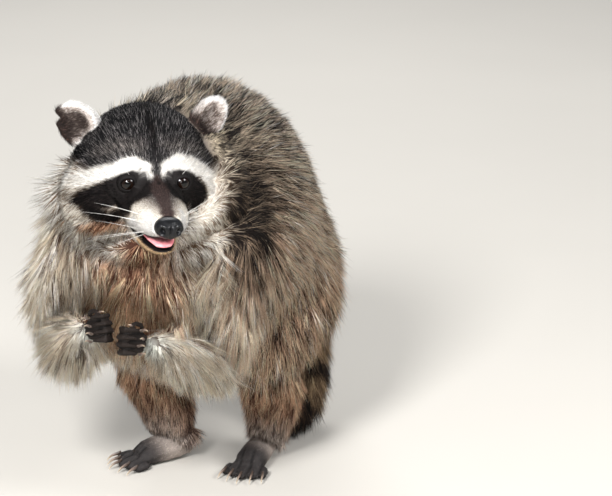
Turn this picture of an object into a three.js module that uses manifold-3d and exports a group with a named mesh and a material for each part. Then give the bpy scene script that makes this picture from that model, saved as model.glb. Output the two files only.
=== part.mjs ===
// Adult raccoon (Procyon lotor) in winter coat, life size, as a still model.
// It stands crouched on its two hind feet with an arched back and the tip of the tail on the floor,
// holds both forepaws closed together before the chest, and turns its head to its left.
// Millimetres, +Z up. The animal faces -Y and its left side is +X. Every form reaches the tips of the fur.
import * as THREE from "three";
import { mergeVertices } from "three/addons/utils/BufferGeometryUtils.js";
import Module from "manifold-3d";

const wasm = await Module();
wasm.setup();

// ---- driving dimensions -------------------------------------------------------------------------

const gap = 0.3; // clearance between neighbouring pieces
const floorDepth = 60; // how far the block that levels the soles reaches below the floor

// The masses that melt together into the body: loin, breast, rump, nape, ruff, haunches and shoulders.
const mirrored = ({ at: [x, y, z], half }) => ({ at: [-x, y, z], half });
const pair = (mass) => [mass, mirrored(mass)];
const bodyMasses = [
  { at: [0, 22, 222], half: [108, 98, 126] },
  { at: [4, -52, 200], half: [94, 58, 98] },
  { at: [0, 92, 174], half: [92, 64, 96] },
  { at: [-4, -42, 276], half: [80, 50, 64] },
  { at: [-2, -54, 224], half: [108, 44, 68] },
  ...pair({ at: [60, 70, 142], half: [46, 62, 60] }),
  { at: [58, -48, 178], half: [42, 40, 56] },
  { at: [-74, -62, 188], half: [42, 42, 58] },
];
const bodyWrap = { centre: [0, 10, 196], melt: 9, reach: 240, sides: 22, rings: 15, crowd: 1 };
// Where the body is parted: across the trunk along Y, and by round plugs let in at the neck, shoulders
// and haunches. A plug starts at "from", runs along "along", and is half "wide" by half "high" across.
const trunkSeams = { loin: 66, chest: -26 };
const neckPlug = { from: [2, -26, 236], along: [0.08, -0.66, 0.75], wide: 100, high: 78 };
const plugs = {
  upper_arm_left: { from: [26, -56, 172], along: [1, 0, 0], wide: 48, high: 78 },
  upper_arm_right: { from: [-30, -74, 178], along: [-1, 0, 0], wide: 52, high: 82 },
  thigh_left: { from: [24, 42, 128], along: [1, 0, 0], wide: 76, high: 60, tip: 16 },
  thigh_right: { from: [-24, 38, 128], along: [-1, 0, 0], wide: 80, high: 60, tip: -16 },
};
const plugLength = 150;

// The head has its own frame: origin midway between the eyes, nose along -Y.
const head = { at: [45, -121, 296], turn: 45, roll: 3.5 };
const eye = { spacing: 43, radius: 7.6, setBack: 3.4, height: -1 };
const ear = { at: [44, 46, 25], faceOut: 24, leanOut: 48, leanBack: 8, length: 47, halfWidth: 18, droop: 3 };
const nosePad = { at: [0, -54, -22], half: [11, 9, 8.4] };
// The masses that melt together into the head: cranium, brow, muzzle, lips, cheeks and throat.
const headMasses = [
  { at: [0, 52, 5], half: [54, 46, 48] },
  { at: [0, 22, 6], half: [32, 25, 25] },
  { at: [0, -2, -12], half: [17, 30, 15] },
  { at: [0, -32, -20], half: [15, 25, 12.5] },
  ...pair({ at: [9.5, -33, -24], half: [9.5, 19, 10] }),
  ...pair({ at: [16, -9, -25], half: [11.5, 20, 11.5] }),
  ...pair({ at: [25, 24, -6], half: [20, 19, 19] }),
  ...pair({ at: [46, 46, -22], half: [30, 33, 38] }),
  { at: [0, 54, -34], half: [58, 32, 34] },
];
const jawLine = [
  { at: [0, 28, -36], wide: 27, deep: 17 },
  { at: [0, 0, -42], wide: 21, deep: 11.5 },
  { at: [0, -24, -45], wide: 15, deep: 8 },
  { at: [0, -43, -44.5], wide: 11, deep: 6.5 },
];
const tongueLine = [
  { at: [0, 6, -36], wide: 13, deep: 3.4 },
  { at: [0, -20, -38], wide: 12.5, deep: 3.2 },
  { at: [0, -44, -40], wide: 9.5, deep: 2.8 },
];

// Limbs. "side" is +1 on the animal's left and -1 on its right.
const arms = {
  left: {
    side: 1,
    shoulder: [54, -50, 212],
    elbow: [70, -56, 138],
    wrist: [38, -132, 162],
  },
  right: {
    side: -1,
    shoulder: [-64, -66, 222],
    elbow: [-74, -90, 134],
    wrist: [-6, -144, 169],
  },
};
const armGirth = { shoulder: 44, middle: 40, elbow: 28, forearm: 25, wrist: 17 };
const legs = {
  left: {
    side: 1,
    hip: [58, 82, 150],
    knee: [72, 6, 108],
    shin: [54, 46, 56],
    heel: [42, 56, 16],
    toe: [52, 4, 9],
  },
  right: {
    side: -1,
    hip: [-56, 78, 150],
    knee: [-52, -18, 108],
    shin: [-34, 10, 54],
    heel: [-18, 18, 16],
    toe: [-44, -25, 9],
  },
};
const legGirth = { hip: 62, thigh: 56, knee: 40, shin: 31, ankle: 21 };
const foot = { heel: 12, instep: 14, ball: 17, toe: 6.2, toeLength: 19, spread: 9 };
const footClaw = { length: 13, radius: 2.1 };

// Fists: each hand runs from its wrist towards the other, palm to the front, fingers curled back over it.
const fist = { palm: 12, thick: 7, length: 20, finger: 3.6, pitch: 6.6, curl: 9 };
const fistClaw = { length: 8, radius: 1.5 };

const tailLine = [
  { at: [0, 108, 158], wide: 28, deep: 28 },
  { at: [10, 152, 116], wide: 31, deep: 31 },
  { at: [22, 154, 72], wide: 31, deep: 31 },
  { at: [36, 126, 27], wide: 29, deep: 30 },
  { at: [46, 84, 19], wide: 21, deep: 22 },
];
const tailSeams = [0.42, 0.7]; // parting places along the tail

const coat = {
  back: { color: 0x6f675c, roughness: 0.9, metalness: 0 },
  chest: { color: 0xa2957f, roughness: 0.9, metalness: 0 },
  neck: { color: 0x8a7f6f, roughness: 0.9, metalness: 0 },
  face: { color: 0x8e8880, roughness: 0.85, metalness: 0 },
  legs: { color: 0x857a6d, roughness: 0.9, metalness: 0 },
  tail: { color: 0x4a4038, roughness: 0.9, metalness: 0 },
  ear: { color: 0xc9c2b8, roughness: 0.85, metalness: 0 },
  foot: { color: 0x3c332e, roughness: 0.75, metalness: 0 },
  eye: { color: 0x120b08, roughness: 0.08, metalness: 0 },
  nose: { color: 0x121315, roughness: 0.35, metalness: 0 },
  tongue: { color: 0xc9707a, roughness: 0.4, metalness: 0 },
  claw: { color: 0xb79a74, roughness: 0.45, metalness: 0 },
};

// ---- forms ----------------------------------------------------------------------------------------

const vec = (a) => new THREE.Vector3(...a);
const radians = THREE.MathUtils.degToRad;

// Keeps only the places of the vertices, each shared by the faces that meet there.
function closed(geometry) {
  geometry.deleteAttribute("normal");
  geometry.deleteAttribute("uv");
  return mergeVertices(geometry, 1e-4);
}

function ellipsoid(centre, half, { sides, rings }) {
  const g = new THREE.SphereGeometry(1, sides, rings);
  g.rotateX(Math.PI / 2);
  g.scale(...half);
  g.translate(...centre);
  return closed(g);
}

// A sphere drawn out along a smooth line through the stations, with round ends. "blunt" sets how soon
// the ends reach full girth, and "side" is the direction of "wide".
function limb(stations, { sides, rings, blunt = 3, side = [1, 0, 0] }) {
  const line = new THREE.CatmullRomCurve3(stations.map((s) => vec(s.at)));
  const girth = new THREE.CatmullRomCurve3(stations.map((s) => new THREE.Vector3(s.wide, s.deep, 0)));
  const g = closed(new THREE.SphereGeometry(1, sides, rings));
  const p = g.attributes.position;
  for (let i = 0; i < p.count; i++) {
    const u = THREE.MathUtils.clamp(p.getY(i), -1, 1);
    const t = (1 - u) / 2;
    const across = Math.hypot(p.getX(i), p.getZ(i));
    const hx = across > 1e-6 ? p.getX(i) / across : 0;
    const hz = across > 1e-6 ? p.getZ(i) / across : 0;
    const full = Math.pow(1 - Math.pow(Math.abs(u), blunt), 1 / blunt);
    const tangent = line.getTangent(t);
    const sideways = vec(side).addScaledVector(tangent, -vec(side).dot(tangent)).normalize();
    const upward = new THREE.Vector3().crossVectors(tangent, sideways);
    const { x: wide, y: deep } = girth.getPoint(t);
    const at = line.getPoint(t);
    at.addScaledVector(sideways, hx * wide * full);
    at.addScaledVector(upward, hz * deep * full);
    p.setXYZ(i, at.x, at.y, at.z);
  }
  return g;
}

// How far a place is outside an ellipsoid (negative inside), near enough for blending.
function outside(p, { at, half }) {
  const scaled = p.map((v, i) => (v - at[i]) / half[i]);
  const k0 = Math.hypot(...scaled);
  const k1 = Math.hypot(...scaled.map((v, i) => v / half[i]));
  return k1 > 1e-9 ? (k0 * (k0 - 1)) / k1 : -Math.min(...half);
}

// One smooth skin round several ellipsoids that melt into each other: a sphere whose vertices move along
// rays from "centre" to where the blended distance is nought. Its rings crowd towards -Y.
function wrapped(masses, { centre, melt, reach, sides, rings, crowd }) {
  const g = closed(new THREE.SphereGeometry(1, sides, rings).rotateX(Math.PI / 2));
  const p = g.attributes.position;
  const share = (q, m) => Math.exp(-outside(q, m) / melt);
  const depth = (q) => -melt * Math.log(masses.reduce((sum, m) => sum + share(q, m), 0));
  for (let i = 0; i < p.count; i++) {
    const polar = Math.acos(THREE.MathUtils.clamp(-p.getY(i), -1, 1));
    const shifted = Math.PI * Math.pow(polar / Math.PI, crowd);
    const round = Math.atan2(p.getZ(i), p.getX(i));
    const wide = Math.sin(shifted);
    const ray = [Math.cos(round) * wide, -Math.cos(shifted), Math.sin(round) * wide];
    const along = (r) => ray.map((v, k) => centre[k] + v * r);
    let far = reach;
    while (depth(along(far)) > 0 && far > 2) far -= 2;
    let near = far;
    far += 2;
    for (let n = 0; n < 12; n++) {
      const middle = (near + far) / 2;
      if (depth(along(middle)) > 0) far = middle;
      else near = middle;
    }
    p.setXYZ(i, ...along(near));
  }
  return g;
}

// A claw: a cone whose point bends down, from "base" along "along", with "down" towards the curl.
function claw(base, along, down, { length, radius }) {
  const g = new THREE.ConeGeometry(radius, length, 4, 2);
  g.translate(0, length / 2, 0);
  const p = g.attributes.position;
  for (let i = 0; i < p.count; i++) {
    const k = p.getY(i) / length;
    p.setZ(i, p.getZ(i) + k * k * length * 0.34);
  }
  const y = along.clone().normalize();
  const z = down.clone().addScaledVector(y, -down.dot(y)).normalize();
  const x = new THREE.Vector3().crossVectors(y, z);
  g.applyMatrix4(new THREE.Matrix4().makeBasis(x, y, z).setPosition(base));
  return closed(g);
}

// The same form, larger all round by the clearance between pieces.
function swollen(geometry, by = gap * 1.15) {
  const g = geometry.clone();
  g.computeVertexNormals();
  const p = g.attributes.position;
  const n = g.attributes.normal;
  for (let i = 0; i < p.count; i++) {
    p.setXYZ(i, p.getX(i) + n.getX(i) * by, p.getY(i) + n.getY(i) * by, p.getZ(i) + n.getZ(i) * by);
  }
  g.deleteAttribute("normal");
  return g;
}

function solidOf(geometry) {
  const g = mergeVertices(geometry, 1e-4);
  return new wasm.Manifold(
    new wasm.Mesh({
      numProp: 3,
      vertProperties: new Float32Array(g.attributes.position.array),
      triVerts: new Uint32Array(g.index.array),
    }),
  );
}

const joined = (forms) => forms.map(solidOf).reduce((a, b) => a.add(b));
const roomFor = (forms) => forms.map((f) => solidOf(swollen(f))).reduce((a, b) => a.add(b));
const inHeadFrame = (forms, matrix) => forms.map((f) => f.clone().applyMatrix4(matrix));

// What is left of a piece once its neighbours' room is taken away: its largest body.
function clearOf(solid, ...rooms) {
  const rest = rooms.reduce((a, room) => a.subtract(room), solid);
  return rest.decompose().reduce((a, b) => (b.volume() > a.volume() ? b : a));
}

function geometryOf(solid) {
  const mesh = solid.getMesh();
  const places = new Float32Array(mesh.numVert * 3);
  for (let i = 0; i < mesh.numVert; i++) {
    places.set(mesh.vertProperties.subarray(i * mesh.numProp, i * mesh.numProp + 3), i * 3);
  }
  return new THREE.BufferGeometry()
    .setAttribute("position", new THREE.BufferAttribute(places, 3))
    .setIndex(new THREE.BufferAttribute(new Uint32Array(mesh.triVerts), 1));
}

// A named mesh whose own origin is the joint or centre that it grows from.
function piece(name, solid, finish, origin = [0, 0, 0]) {
  const g = geometryOf(solid);
  g.translate(-origin[0], -origin[1], -origin[2]);
  const mesh = new THREE.Mesh(g, new THREE.MeshStandardMaterial(finish));
  mesh.name = name;
  mesh.position.set(...origin);
  return mesh;
}

// A thin upright slab across the body at "at", facing along "normal".
function slab(at, normal, size = 400) {
  const g = new THREE.BoxGeometry(size, size, gap);
  const upright = new THREE.Vector3(0, 0, 1);
  const turn = new THREE.Quaternion().setFromUnitVectors(upright, normal.clone().normalize());
  g.applyQuaternion(turn);
  g.translate(at.x, at.y, at.z);
  return solidOf(closed(g));
}

const underFloor = () => {
  const g = new THREE.BoxGeometry(1000, 1000, floorDepth);
  g.translate(0, 0, -floorDepth / 2);
  return solidOf(closed(g));
};

const centreOf = (solid) => {
  const { min, max } = solid.boundingBox();
  return min.map((v, i) => (v + max[i]) / 2);
};

const animal = new THREE.Group();
animal.name = "raccoon";
const floor = underFloor();

// ---- head -----------------------------------------------------------------------------------------

const headGroup = new THREE.Group();
headGroup.position.set(...head.at);
headGroup.rotation.set(0, radians(head.roll), radians(head.turn), "ZYX");
headGroup.updateMatrix();
const toBody = headGroup.matrix;

const skullForms = [
  wrapped(headMasses, { centre: [0, 38, -12], melt: 4.5, reach: 130, sides: 20, rings: 16, crowd: 1.5 }),
];
const eyeForm = (side) =>
  ellipsoid([(side * eye.spacing) / 2, eye.setBack, eye.height], [eye.radius, eye.radius, eye.radius], {
    sides: 10,
    rings: 6,
  });
const noseForm = ellipsoid(nosePad.at, nosePad.half, { sides: 10, rings: 6 });
const jawForm = limb(jawLine, { sides: 10, rings: 7 });
const tongueForm = limb(tongueLine, { sides: 8, rings: 6 });
// Where the tongue is rooted.
const throatForm = ellipsoid([0, 26, -40], [30, 26, 16], { sides: 10, rings: 6 });
const mouthForm = limb(
  [
    { at: [0, 4, -35], wide: 24, deep: 4 },
    { at: [0, -22, -38], wide: 19, deep: 5.5 },
    { at: [0, -60, -39.5], wide: 17, deep: 7 },
  ],
  { sides: 8, rings: 5, blunt: 4 },
);

// The right ear hangs a little lower than the left.
const earRoot = (side) => [side * ear.at[0], ear.at[1], ear.at[2] - (side < 0 ? ear.droop : 0)];

// An ear: a leaf with a round tip, thin at the rim and hollowed in front. The right one has a nick.
function earForms(side) {
  const matrix = new THREE.Matrix4().compose(
    vec(earRoot(side)),
    new THREE.Quaternion().setFromEuler(
      new THREE.Euler(
        radians(-ear.leanBack),
        radians(side * ear.leanOut),
        radians(side * ear.faceOut),
        "ZYX",
      ),
    ),
    new THREE.Vector3(1, 1, 1),
  );
  const { length, halfWidth } = ear;
  const leaf = limb(
    [
      { at: [0, 3, -8], wide: halfWidth * 0.8, deep: 10 },
      { at: [0, 3, length * 0.2], wide: halfWidth, deep: 8.5 },
      { at: [0, 1, length * 0.5], wide: halfWidth * 0.98, deep: 6 },
      { at: [0, -2, length * 0.82], wide: halfWidth * 0.8, deep: 3.6 },
    ],
    { sides: 10, rings: 7, blunt: 2.6 },
  );
  const cup = { at: [0, -11, length * 0.38], half: [halfWidth * 0.84, 14, length * 0.4] };
  const hollow = ellipsoid(cup.at, cup.half, { sides: 9, rings: 6 });
  const nick = ellipsoid([-halfWidth * 1.12, -2, length * 0.52], [6, 8, 4.5], { sides: 8, rings: 6 });
  return [leaf, hollow, nick].map((g) => g.applyMatrix4(matrix));
}

const skull = clearOf(
  joined(skullForms),
  roomFor([eyeForm(-1)]),
  roomFor([eyeForm(1)]),
  roomFor([noseForm]),
  roomFor([jawForm]),
  joined([mouthForm]),
);
headGroup.add(piece("head", skull, coat.face, [0, 40, 0]));
const skullRoom = roomFor(skullForms);
const earLeaves = [];
for (const [name, side] of [["left", 1], ["right", -1]]) {
  const eyeAt = [(side * eye.spacing) / 2, eye.setBack, eye.height];
  headGroup.add(piece("eye_" + name, joined([eyeForm(side)]), coat.eye, eyeAt));
  const [leaf, hollow, nick] = earForms(side);
  earLeaves.push(leaf);
  const cup = joined([leaf]).subtract(joined([hollow]));
  const shaped = side < 0 ? cup.subtract(joined([nick])) : cup;
  headGroup.add(piece("ear_" + name, clearOf(shaped, skullRoom), coat.ear, earRoot(side)));
}
headGroup.add(piece("nose", joined([noseForm]), coat.nose, nosePad.at));
const jaw = clearOf(joined([jawForm]), roomFor([tongueForm]), joined([mouthForm]));
headGroup.add(piece("lower_jaw", jaw, coat.chest, jawLine[1].at));
const tongue = clearOf(joined([tongueForm]), roomFor([throatForm]));
headGroup.add(piece("tongue", tongue, coat.tongue, tongueLine[1].at));
animal.add(headGroup);

// ---- body: trunk, neck, upper arms and thighs -----------------------------------------------------

const headRoom = roomFor(inHeadFrame([...skullForms, jawForm, ...earLeaves], toBody));
const bodyForm = wrapped(bodyMasses, bodyWrap);
const bodyRoom = roomFor([bodyForm]);

function upperArmForm({ side, shoulder, elbow }) {
  const middle = shoulder.map((v, i) => (v + elbow[i]) / 2 + (i === 0 ? side * 6 : 0));
  const { shoulder: top, middle: half, elbow: low } = armGirth;
  return limb(
    [
      { at: shoulder, wide: top, deep: top },
      { at: middle, wide: half, deep: half },
      { at: [elbow[0], elbow[1] + 6, elbow[2] - 22], wide: low, deep: low },
    ],
    { sides: 11, rings: 7 },
  );
}

function thighForm({ side, hip, knee }) {
  const { hip: top, thigh: half, knee: low } = legGirth;
  return limb(
    [
      { at: [hip[0], hip[1] + 24, hip[2] + 12], wide: top * 0.8, deep: top * 0.9 },
      { at: [hip[0] + side * 6, hip[1] - 24, hip[2] - 8], wide: half * 0.84, deep: half },
      { at: [knee[0], knee[1] - 20, knee[2] - 8], wide: low * 0.9, deep: low },
    ],
    { sides: 11, rings: 7 },
  );
}

// A straight elliptical plug: what it takes out of the body becomes a piece of its own. "tip" leans its
// ellipse, and "extra" widens it by the clearance.
function plug({ from, along, wide, high, tip = 0 }, extra = 0) {
  const g = new THREE.CylinderGeometry(1, 1, plugLength + extra, 16);
  g.translate(0, plugLength / 2, 0);
  g.scale(wide + extra, 1, high + extra);
  const y = vec(along).normalize();
  const across = Math.abs(y.x) > 0.9 ? vec([0, 1, 0]) : vec([1, 0, 0]);
  const x = across.addScaledVector(y, -across.dot(y)).normalize().applyAxisAngle(y, radians(tip));
  const z = new THREE.Vector3().crossVectors(x, y);
  g.applyMatrix4(new THREE.Matrix4().makeBasis(x, y, z).setPosition(vec(from)));
  return solidOf(closed(g));
}

const armForms = Object.values(arms).map(upperArmForm);
const thighForms = Object.values(legs).map(thighForm);
const pluggedPieces = [
  ["neck", neckPlug, coat.neck, neckPlug.from],
  ["upper_arm_left", plugs.upper_arm_left, coat.chest, arms.left.shoulder],
  ["upper_arm_right", plugs.upper_arm_right, coat.chest, arms.right.shoulder],
  ["thigh_left", plugs.thigh_left, coat.legs, legs.left.hip],
  ["thigh_right", plugs.thigh_right, coat.legs, legs.right.hip],
];
let trunk = joined([bodyForm, ...armForms, ...thighForms]).subtract(headRoom);
for (const [name, place, finish, origin] of pluggedPieces) {
  animal.add(piece(name, clearOf(trunk.intersect(plug(place))), finish, origin));
  trunk = trunk.subtract(plug(place, gap));
}

const forward = new THREE.Vector3(0, -1, 0);
const seams = Object.values(trunkSeams).map((y) => slab(new THREE.Vector3(0, y, 200), forward, 500));
const trunkParts = seams
  .reduce((a, seam) => a.subtract(seam), trunk)
  .decompose()
  .sort((a, b) => b.volume() - a.volume())
  .slice(0, 3)
  .sort((a, b) => centreOf(b)[1] - centreOf(a)[1]);
["rump", "belly", "chest"].forEach((name, i) => {
  animal.add(piece(name, trunkParts[i], i < 2 ? coat.back : coat.chest, centreOf(trunkParts[i])));
});

// ---- tail -----------------------------------------------------------------------------------------

const tailForm = limb(tailLine, { sides: 10, rings: 12, blunt: 3 });
const tailCurve = new THREE.CatmullRomCurve3(tailLine.map((s) => vec(s.at)));
const tailBody = clearOf(joined([tailForm]), bodyRoom, floor);
const tailParts = tailSeams
  .reduce((a, t) => a.subtract(slab(tailCurve.getPoint(t), tailCurve.getTangent(t), 120)), tailBody)
  .decompose()
  .sort((a, b) => centreOf(b)[2] - centreOf(a)[2]);
["tail_base", "tail_middle", "tail_tip"].forEach((name, i) => {
  animal.add(piece(name, tailParts[i], coat.tail, centreOf(tailParts[i])));
});

// ---- forelimbs ------------------------------------------------------------------------------------

// "toward" runs from the right hand to the left one in front of the breast, and both palms face outward.
const toward = vec([0.866, 0.5, 0]);
const palmFacing = vec([0.476, -0.824, 0.31]);

function handForms(arm) {
  const distal = toward.clone().multiplyScalar(-arm.side * 0.86);
  distal.addScaledVector(palmFacing, 0.42).addScaledVector(vec([0, 0, 1]), 0.1).normalize();
  const palm = palmFacing.clone().addScaledVector(distal, -palmFacing.dot(distal)).normalize();
  const across = new THREE.Vector3().crossVectors(palm, distal);
  const matrix = new THREE.Matrix4().makeBasis(distal, across, palm).setPosition(vec(arm.wrist));
  const { palm: half, thick, length, finger, pitch, curl } = fist;
  const forms = [
    limb(
      [
        { at: [-6, 0, 0], wide: half * 0.85, deep: thick },
        { at: [length * 0.5, 0, 0], wide: half * 1.05, deep: thick },
        { at: [length, 0, 1], wide: half * 1.08, deep: thick * 0.8 },
      ],
      { sides: 8, rings: 5, side: [0, 1, 0] },
    ),
  ];
  const tips = [];
  for (let i = 0; i < 4; i++) {
    const y = (i - 1.5) * pitch;
    const reach = length + 3 - Math.abs(i - 1.3) * 1.6;
    const line = [
      { at: [reach - 8, y, 3], wide: finger, deep: finger },
      { at: [reach + 3, y, 6], wide: finger, deep: finger },
      { at: [reach + 2, y, 6 + curl], wide: finger, deep: finger },
      { at: [reach - 13, y * 0.94, 7 + curl], wide: finger * 0.92, deep: finger * 0.9 },
    ];
    forms.push(limb(line, { sides: 5, rings: 5, side: [0, 1, 0] }));
    tips.push([new THREE.Vector3(reach - 10.5, y * 0.94, 8 + curl), new THREE.Vector3(-1, 0, 0.05)]);
  }
  const thumb = [
    { at: [2, -arm.side * half * 0.9, 3], wide: finger, deep: finger },
    { at: [10, -arm.side * (half + 3), 9], wide: finger, deep: finger },
    { at: [20, -arm.side * (half + 1), 14], wide: finger * 0.9, deep: finger * 0.9 },
  ];
  forms.push(limb(thumb, { sides: 5, rings: 5, side: [0, 1, 0] }));
  tips.push([new THREE.Vector3(17.5, -arm.side * (half + 1), 13.5), new THREE.Vector3(1, 0, 0.5)]);
  const claws = tips.map(([base, along]) => claw(base, along, new THREE.Vector3(0, 0, -1), fistClaw));
  return [forms, claws].map((list) => list.map((g) => g.applyMatrix4(matrix)));
}

const handRooms = [];
for (const [name, arm] of Object.entries(arms)) {
  const { elbow, wrist } = arm;
  const half = elbow.map((v, i) => (v + wrist[i]) / 2 - (i === 2 ? 5 : 0));
  const foreForm = limb(
    [
      { at: [elbow[0], elbow[1] + 14, elbow[2] - 8], wide: armGirth.elbow, deep: armGirth.elbow },
      { at: half, wide: armGirth.forearm, deep: armGirth.forearm },
      { at: wrist, wide: armGirth.wrist, deep: armGirth.wrist },
    ],
    { sides: 10, rings: 6, side: [0, 0, 1] },
  );
  const [hand, claws] = handForms(arm);
  const upperRoom = roomFor([upperArmForm(arm)]);
  const foreRoom = roomFor([foreForm]);
  const handRoom = roomFor(hand);
  animal.add(piece("forearm_" + name, clearOf(joined([foreForm]), bodyRoom, upperRoom), coat.chest, elbow));
  animal.add(piece("hand_" + name, clearOf(joined(hand), foreRoom, ...handRooms), coat.foot, wrist));
  claws.forEach((form, i) => {
    const nail = clearOf(joined([form]), handRoom, ...handRooms);
    animal.add(piece(`hand_claw_${name}_${i + 1}`, nail, coat.claw, centreOf(nail)));
  });
  handRooms.push(handRoom, ...claws.map((form) => roomFor([form])));
}

// ---- hind limbs -----------------------------------------------------------------------------------

function footForms(leg) {
  const heel = vec(leg.heel);
  const toe = vec(leg.toe);
  const along = toe.clone().sub(heel).setZ(0).normalize();
  const across = new THREE.Vector3().crossVectors(along, vec([0, 0, 1]));
  const side = across.toArray();
  const middle = heel.clone().lerp(toe, 0.5);
  const back = heel.clone().addScaledVector(along, -9);
  const forms = [
    limb(
      [
        { at: [back.x, back.y, 12], wide: foot.heel, deep: 13 },
        { at: [middle.x, middle.y, 11.5], wide: foot.instep, deep: 14 },
        { at: [toe.x, toe.y, 7], wide: foot.ball, deep: 10 },
      ],
      { sides: 9, rings: 6, side, blunt: 3.4 },
    ),
  ];
  const claws = [];
  for (let i = 0; i < 5; i++) {
    const k = i - 2;
    const root = toe.clone().addScaledVector(along, -10).addScaledVector(across, k * foot.spread * 0.72);
    const out = along.clone().addScaledVector(across, k * 0.13).normalize();
    const reach = foot.toeLength - Math.abs(k) * 3.4;
    const knuckle = root.clone().addScaledVector(out, reach * 0.6);
    const tip = root.clone().addScaledVector(out, reach + 8);
    forms.push(
      limb(
        [
          { at: [root.x, root.y, 5], wide: foot.toe, deep: foot.toe },
          { at: [knuckle.x, knuckle.y, 4.6], wide: foot.toe, deep: foot.toe * 1.1 },
          { at: [tip.x, tip.y, 3.2], wide: foot.toe * 0.9, deep: foot.toe * 0.9 },
        ],
        { sides: 5, rings: 4, side },
      ),
    );
    const base = tip.clone().addScaledVector(out, -3).setZ(5.6);
    claws.push(claw(base, out.clone().setZ(-0.12), vec([0, 0, -1]), footClaw));
  }
  return [forms, claws];
}

for (const [name, leg] of Object.entries(legs)) {
  const { knee, shin, heel } = leg;
  const shankForm = limb(
    [
      { at: [knee[0], knee[1] + 2, knee[2] + 10], wide: legGirth.knee * 0.9, deep: legGirth.knee },
      { at: shin, wide: legGirth.shin, deep: legGirth.shin },
      { at: [heel[0], heel[1] - 4, heel[2] - 10], wide: legGirth.ankle, deep: legGirth.ankle },
    ],
    { sides: 10, rings: 7 },
  );
  const [footParts, claws] = footForms(leg);
  const thighRoom = roomFor([thighForm(leg)]);
  const shankRoom = roomFor([shankForm]);
  const footRoom = roomFor(footParts);
  const shank = clearOf(joined([shankForm]), bodyRoom, thighRoom, footRoom, floor);
  animal.add(piece("shank_" + name, shank, coat.legs, knee));
  animal.add(piece("foot_" + name, clearOf(joined(footParts), floor), coat.foot, heel));
  claws.forEach((form, i) => {
    const nail = clearOf(joined([form]), footRoom, shankRoom, floor);
    animal.add(piece(`foot_claw_${name}_${i + 1}`, nail, coat.claw, centreOf(nail)));
  });
}

// The origin is put under the middle of the box round the whole animal, on the floor.
const middle = new THREE.Box3().setFromObject(animal, true).getCenter(new THREE.Vector3());
for (const part of animal.children) {
  part.position.x -= middle.x;
  part.position.y -= middle.y;
}

export default animal;
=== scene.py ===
import math
import bpy
import numpy as np
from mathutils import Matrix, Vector
from mathutils.bvhtree import BVHTree
from mathutils.kdtree import KDTree


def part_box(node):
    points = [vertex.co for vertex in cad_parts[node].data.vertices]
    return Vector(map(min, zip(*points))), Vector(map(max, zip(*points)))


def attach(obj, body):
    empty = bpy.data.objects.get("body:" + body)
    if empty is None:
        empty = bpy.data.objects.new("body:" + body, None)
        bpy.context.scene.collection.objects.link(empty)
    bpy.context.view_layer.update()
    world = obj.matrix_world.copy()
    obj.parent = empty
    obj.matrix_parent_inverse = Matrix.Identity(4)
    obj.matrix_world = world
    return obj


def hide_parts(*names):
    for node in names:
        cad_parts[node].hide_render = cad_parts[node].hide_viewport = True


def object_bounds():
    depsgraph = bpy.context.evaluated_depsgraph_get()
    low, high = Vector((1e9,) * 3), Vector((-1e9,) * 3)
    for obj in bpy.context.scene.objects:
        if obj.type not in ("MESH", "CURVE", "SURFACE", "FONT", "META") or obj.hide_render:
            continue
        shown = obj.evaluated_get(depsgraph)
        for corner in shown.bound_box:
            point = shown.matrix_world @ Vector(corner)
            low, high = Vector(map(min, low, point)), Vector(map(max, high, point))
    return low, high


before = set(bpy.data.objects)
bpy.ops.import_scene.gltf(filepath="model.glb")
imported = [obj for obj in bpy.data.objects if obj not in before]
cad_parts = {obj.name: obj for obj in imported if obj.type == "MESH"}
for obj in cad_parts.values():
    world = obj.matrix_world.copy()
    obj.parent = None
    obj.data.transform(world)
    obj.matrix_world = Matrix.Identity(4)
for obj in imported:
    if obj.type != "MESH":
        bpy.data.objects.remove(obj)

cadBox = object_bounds()
rng = np.random.default_rng(11)
mm = 0.001

# A still raccoon: one skin under the coat, the coat in tapered tufts, and separate eyes, nose, tongue,
# claws and whiskers. Lengths in the dictionaries are millimetres and angles are degrees.

fleshNodes = {
    "head": ["head", "lower_jaw"],
    "ears": ["ear_left", "ear_right"],
    "body": ["neck", "chest", "belly", "rump", "tail_base", "tail_middle", "tail_tip",
             "upper_arm_left", "upper_arm_right", "forearm_left", "forearm_right",
             "thigh_left", "thigh_right", "shank_left", "shank_right"],
    "paws": ["hand_left", "hand_right", "foot_left", "foot_right"],
}
allFlesh = [node for group in fleshNodes.values() for node in group]


def ink(code):
    # a colour written as six hex digits, made linear
    srgb = np.array([int(code[i:i + 2], 16) / 255 for i in (0, 2, 4)])
    return np.where(srgb <= 0.04045, srgb / 12.92, ((srgb + 0.055) / 1.055) ** 2.4)


def spot(node, across=0.5, along=0.5, up=0.5):
    # a place in a node's box, as shares of its three sides
    low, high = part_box(node)
    share = np.array([across, along, up])
    return np.array(low) + share * (np.array(high) - np.array(low))


def unit(v):
    v = np.asarray(v, float)
    return v / np.maximum(np.linalg.norm(v, axis=-1, keepdims=True), 1e-12)


def gapTo(points, places):
    return np.linalg.norm(points - places, axis=1) / mm


def rise(x, low, high):
    # a smooth step from nought at "low" to one at "high"
    t = np.clip((x - low) / (high - low), 0, 1)
    return t * t * (3 - 2 * t)


# The head's own directions, from the two eyes: X to the animal's left, Y to the back of the head, Z up.
eyeGapAsMade = 43
eyeSeat = (3.4, -1.0)  # how far the eyes sit behind and above the middle of the face
faceX = spot("eye_left") - spot("eye_right")
faceScale = np.linalg.norm(faceX) / eyeGapAsMade
faceX = unit(faceX)
faceY = unit(np.cross([0, 0, 1], faceX))
faceZ = np.cross(faceX, faceY)
faceAxes = np.stack([faceX, faceY, faceZ], 1)
eyeMiddle = (spot("eye_left") + spot("eye_right")) / 2
faceHome = eyeMiddle - faceScale * (eyeSeat[0] * faceY + eyeSeat[1] * faceZ)


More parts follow.
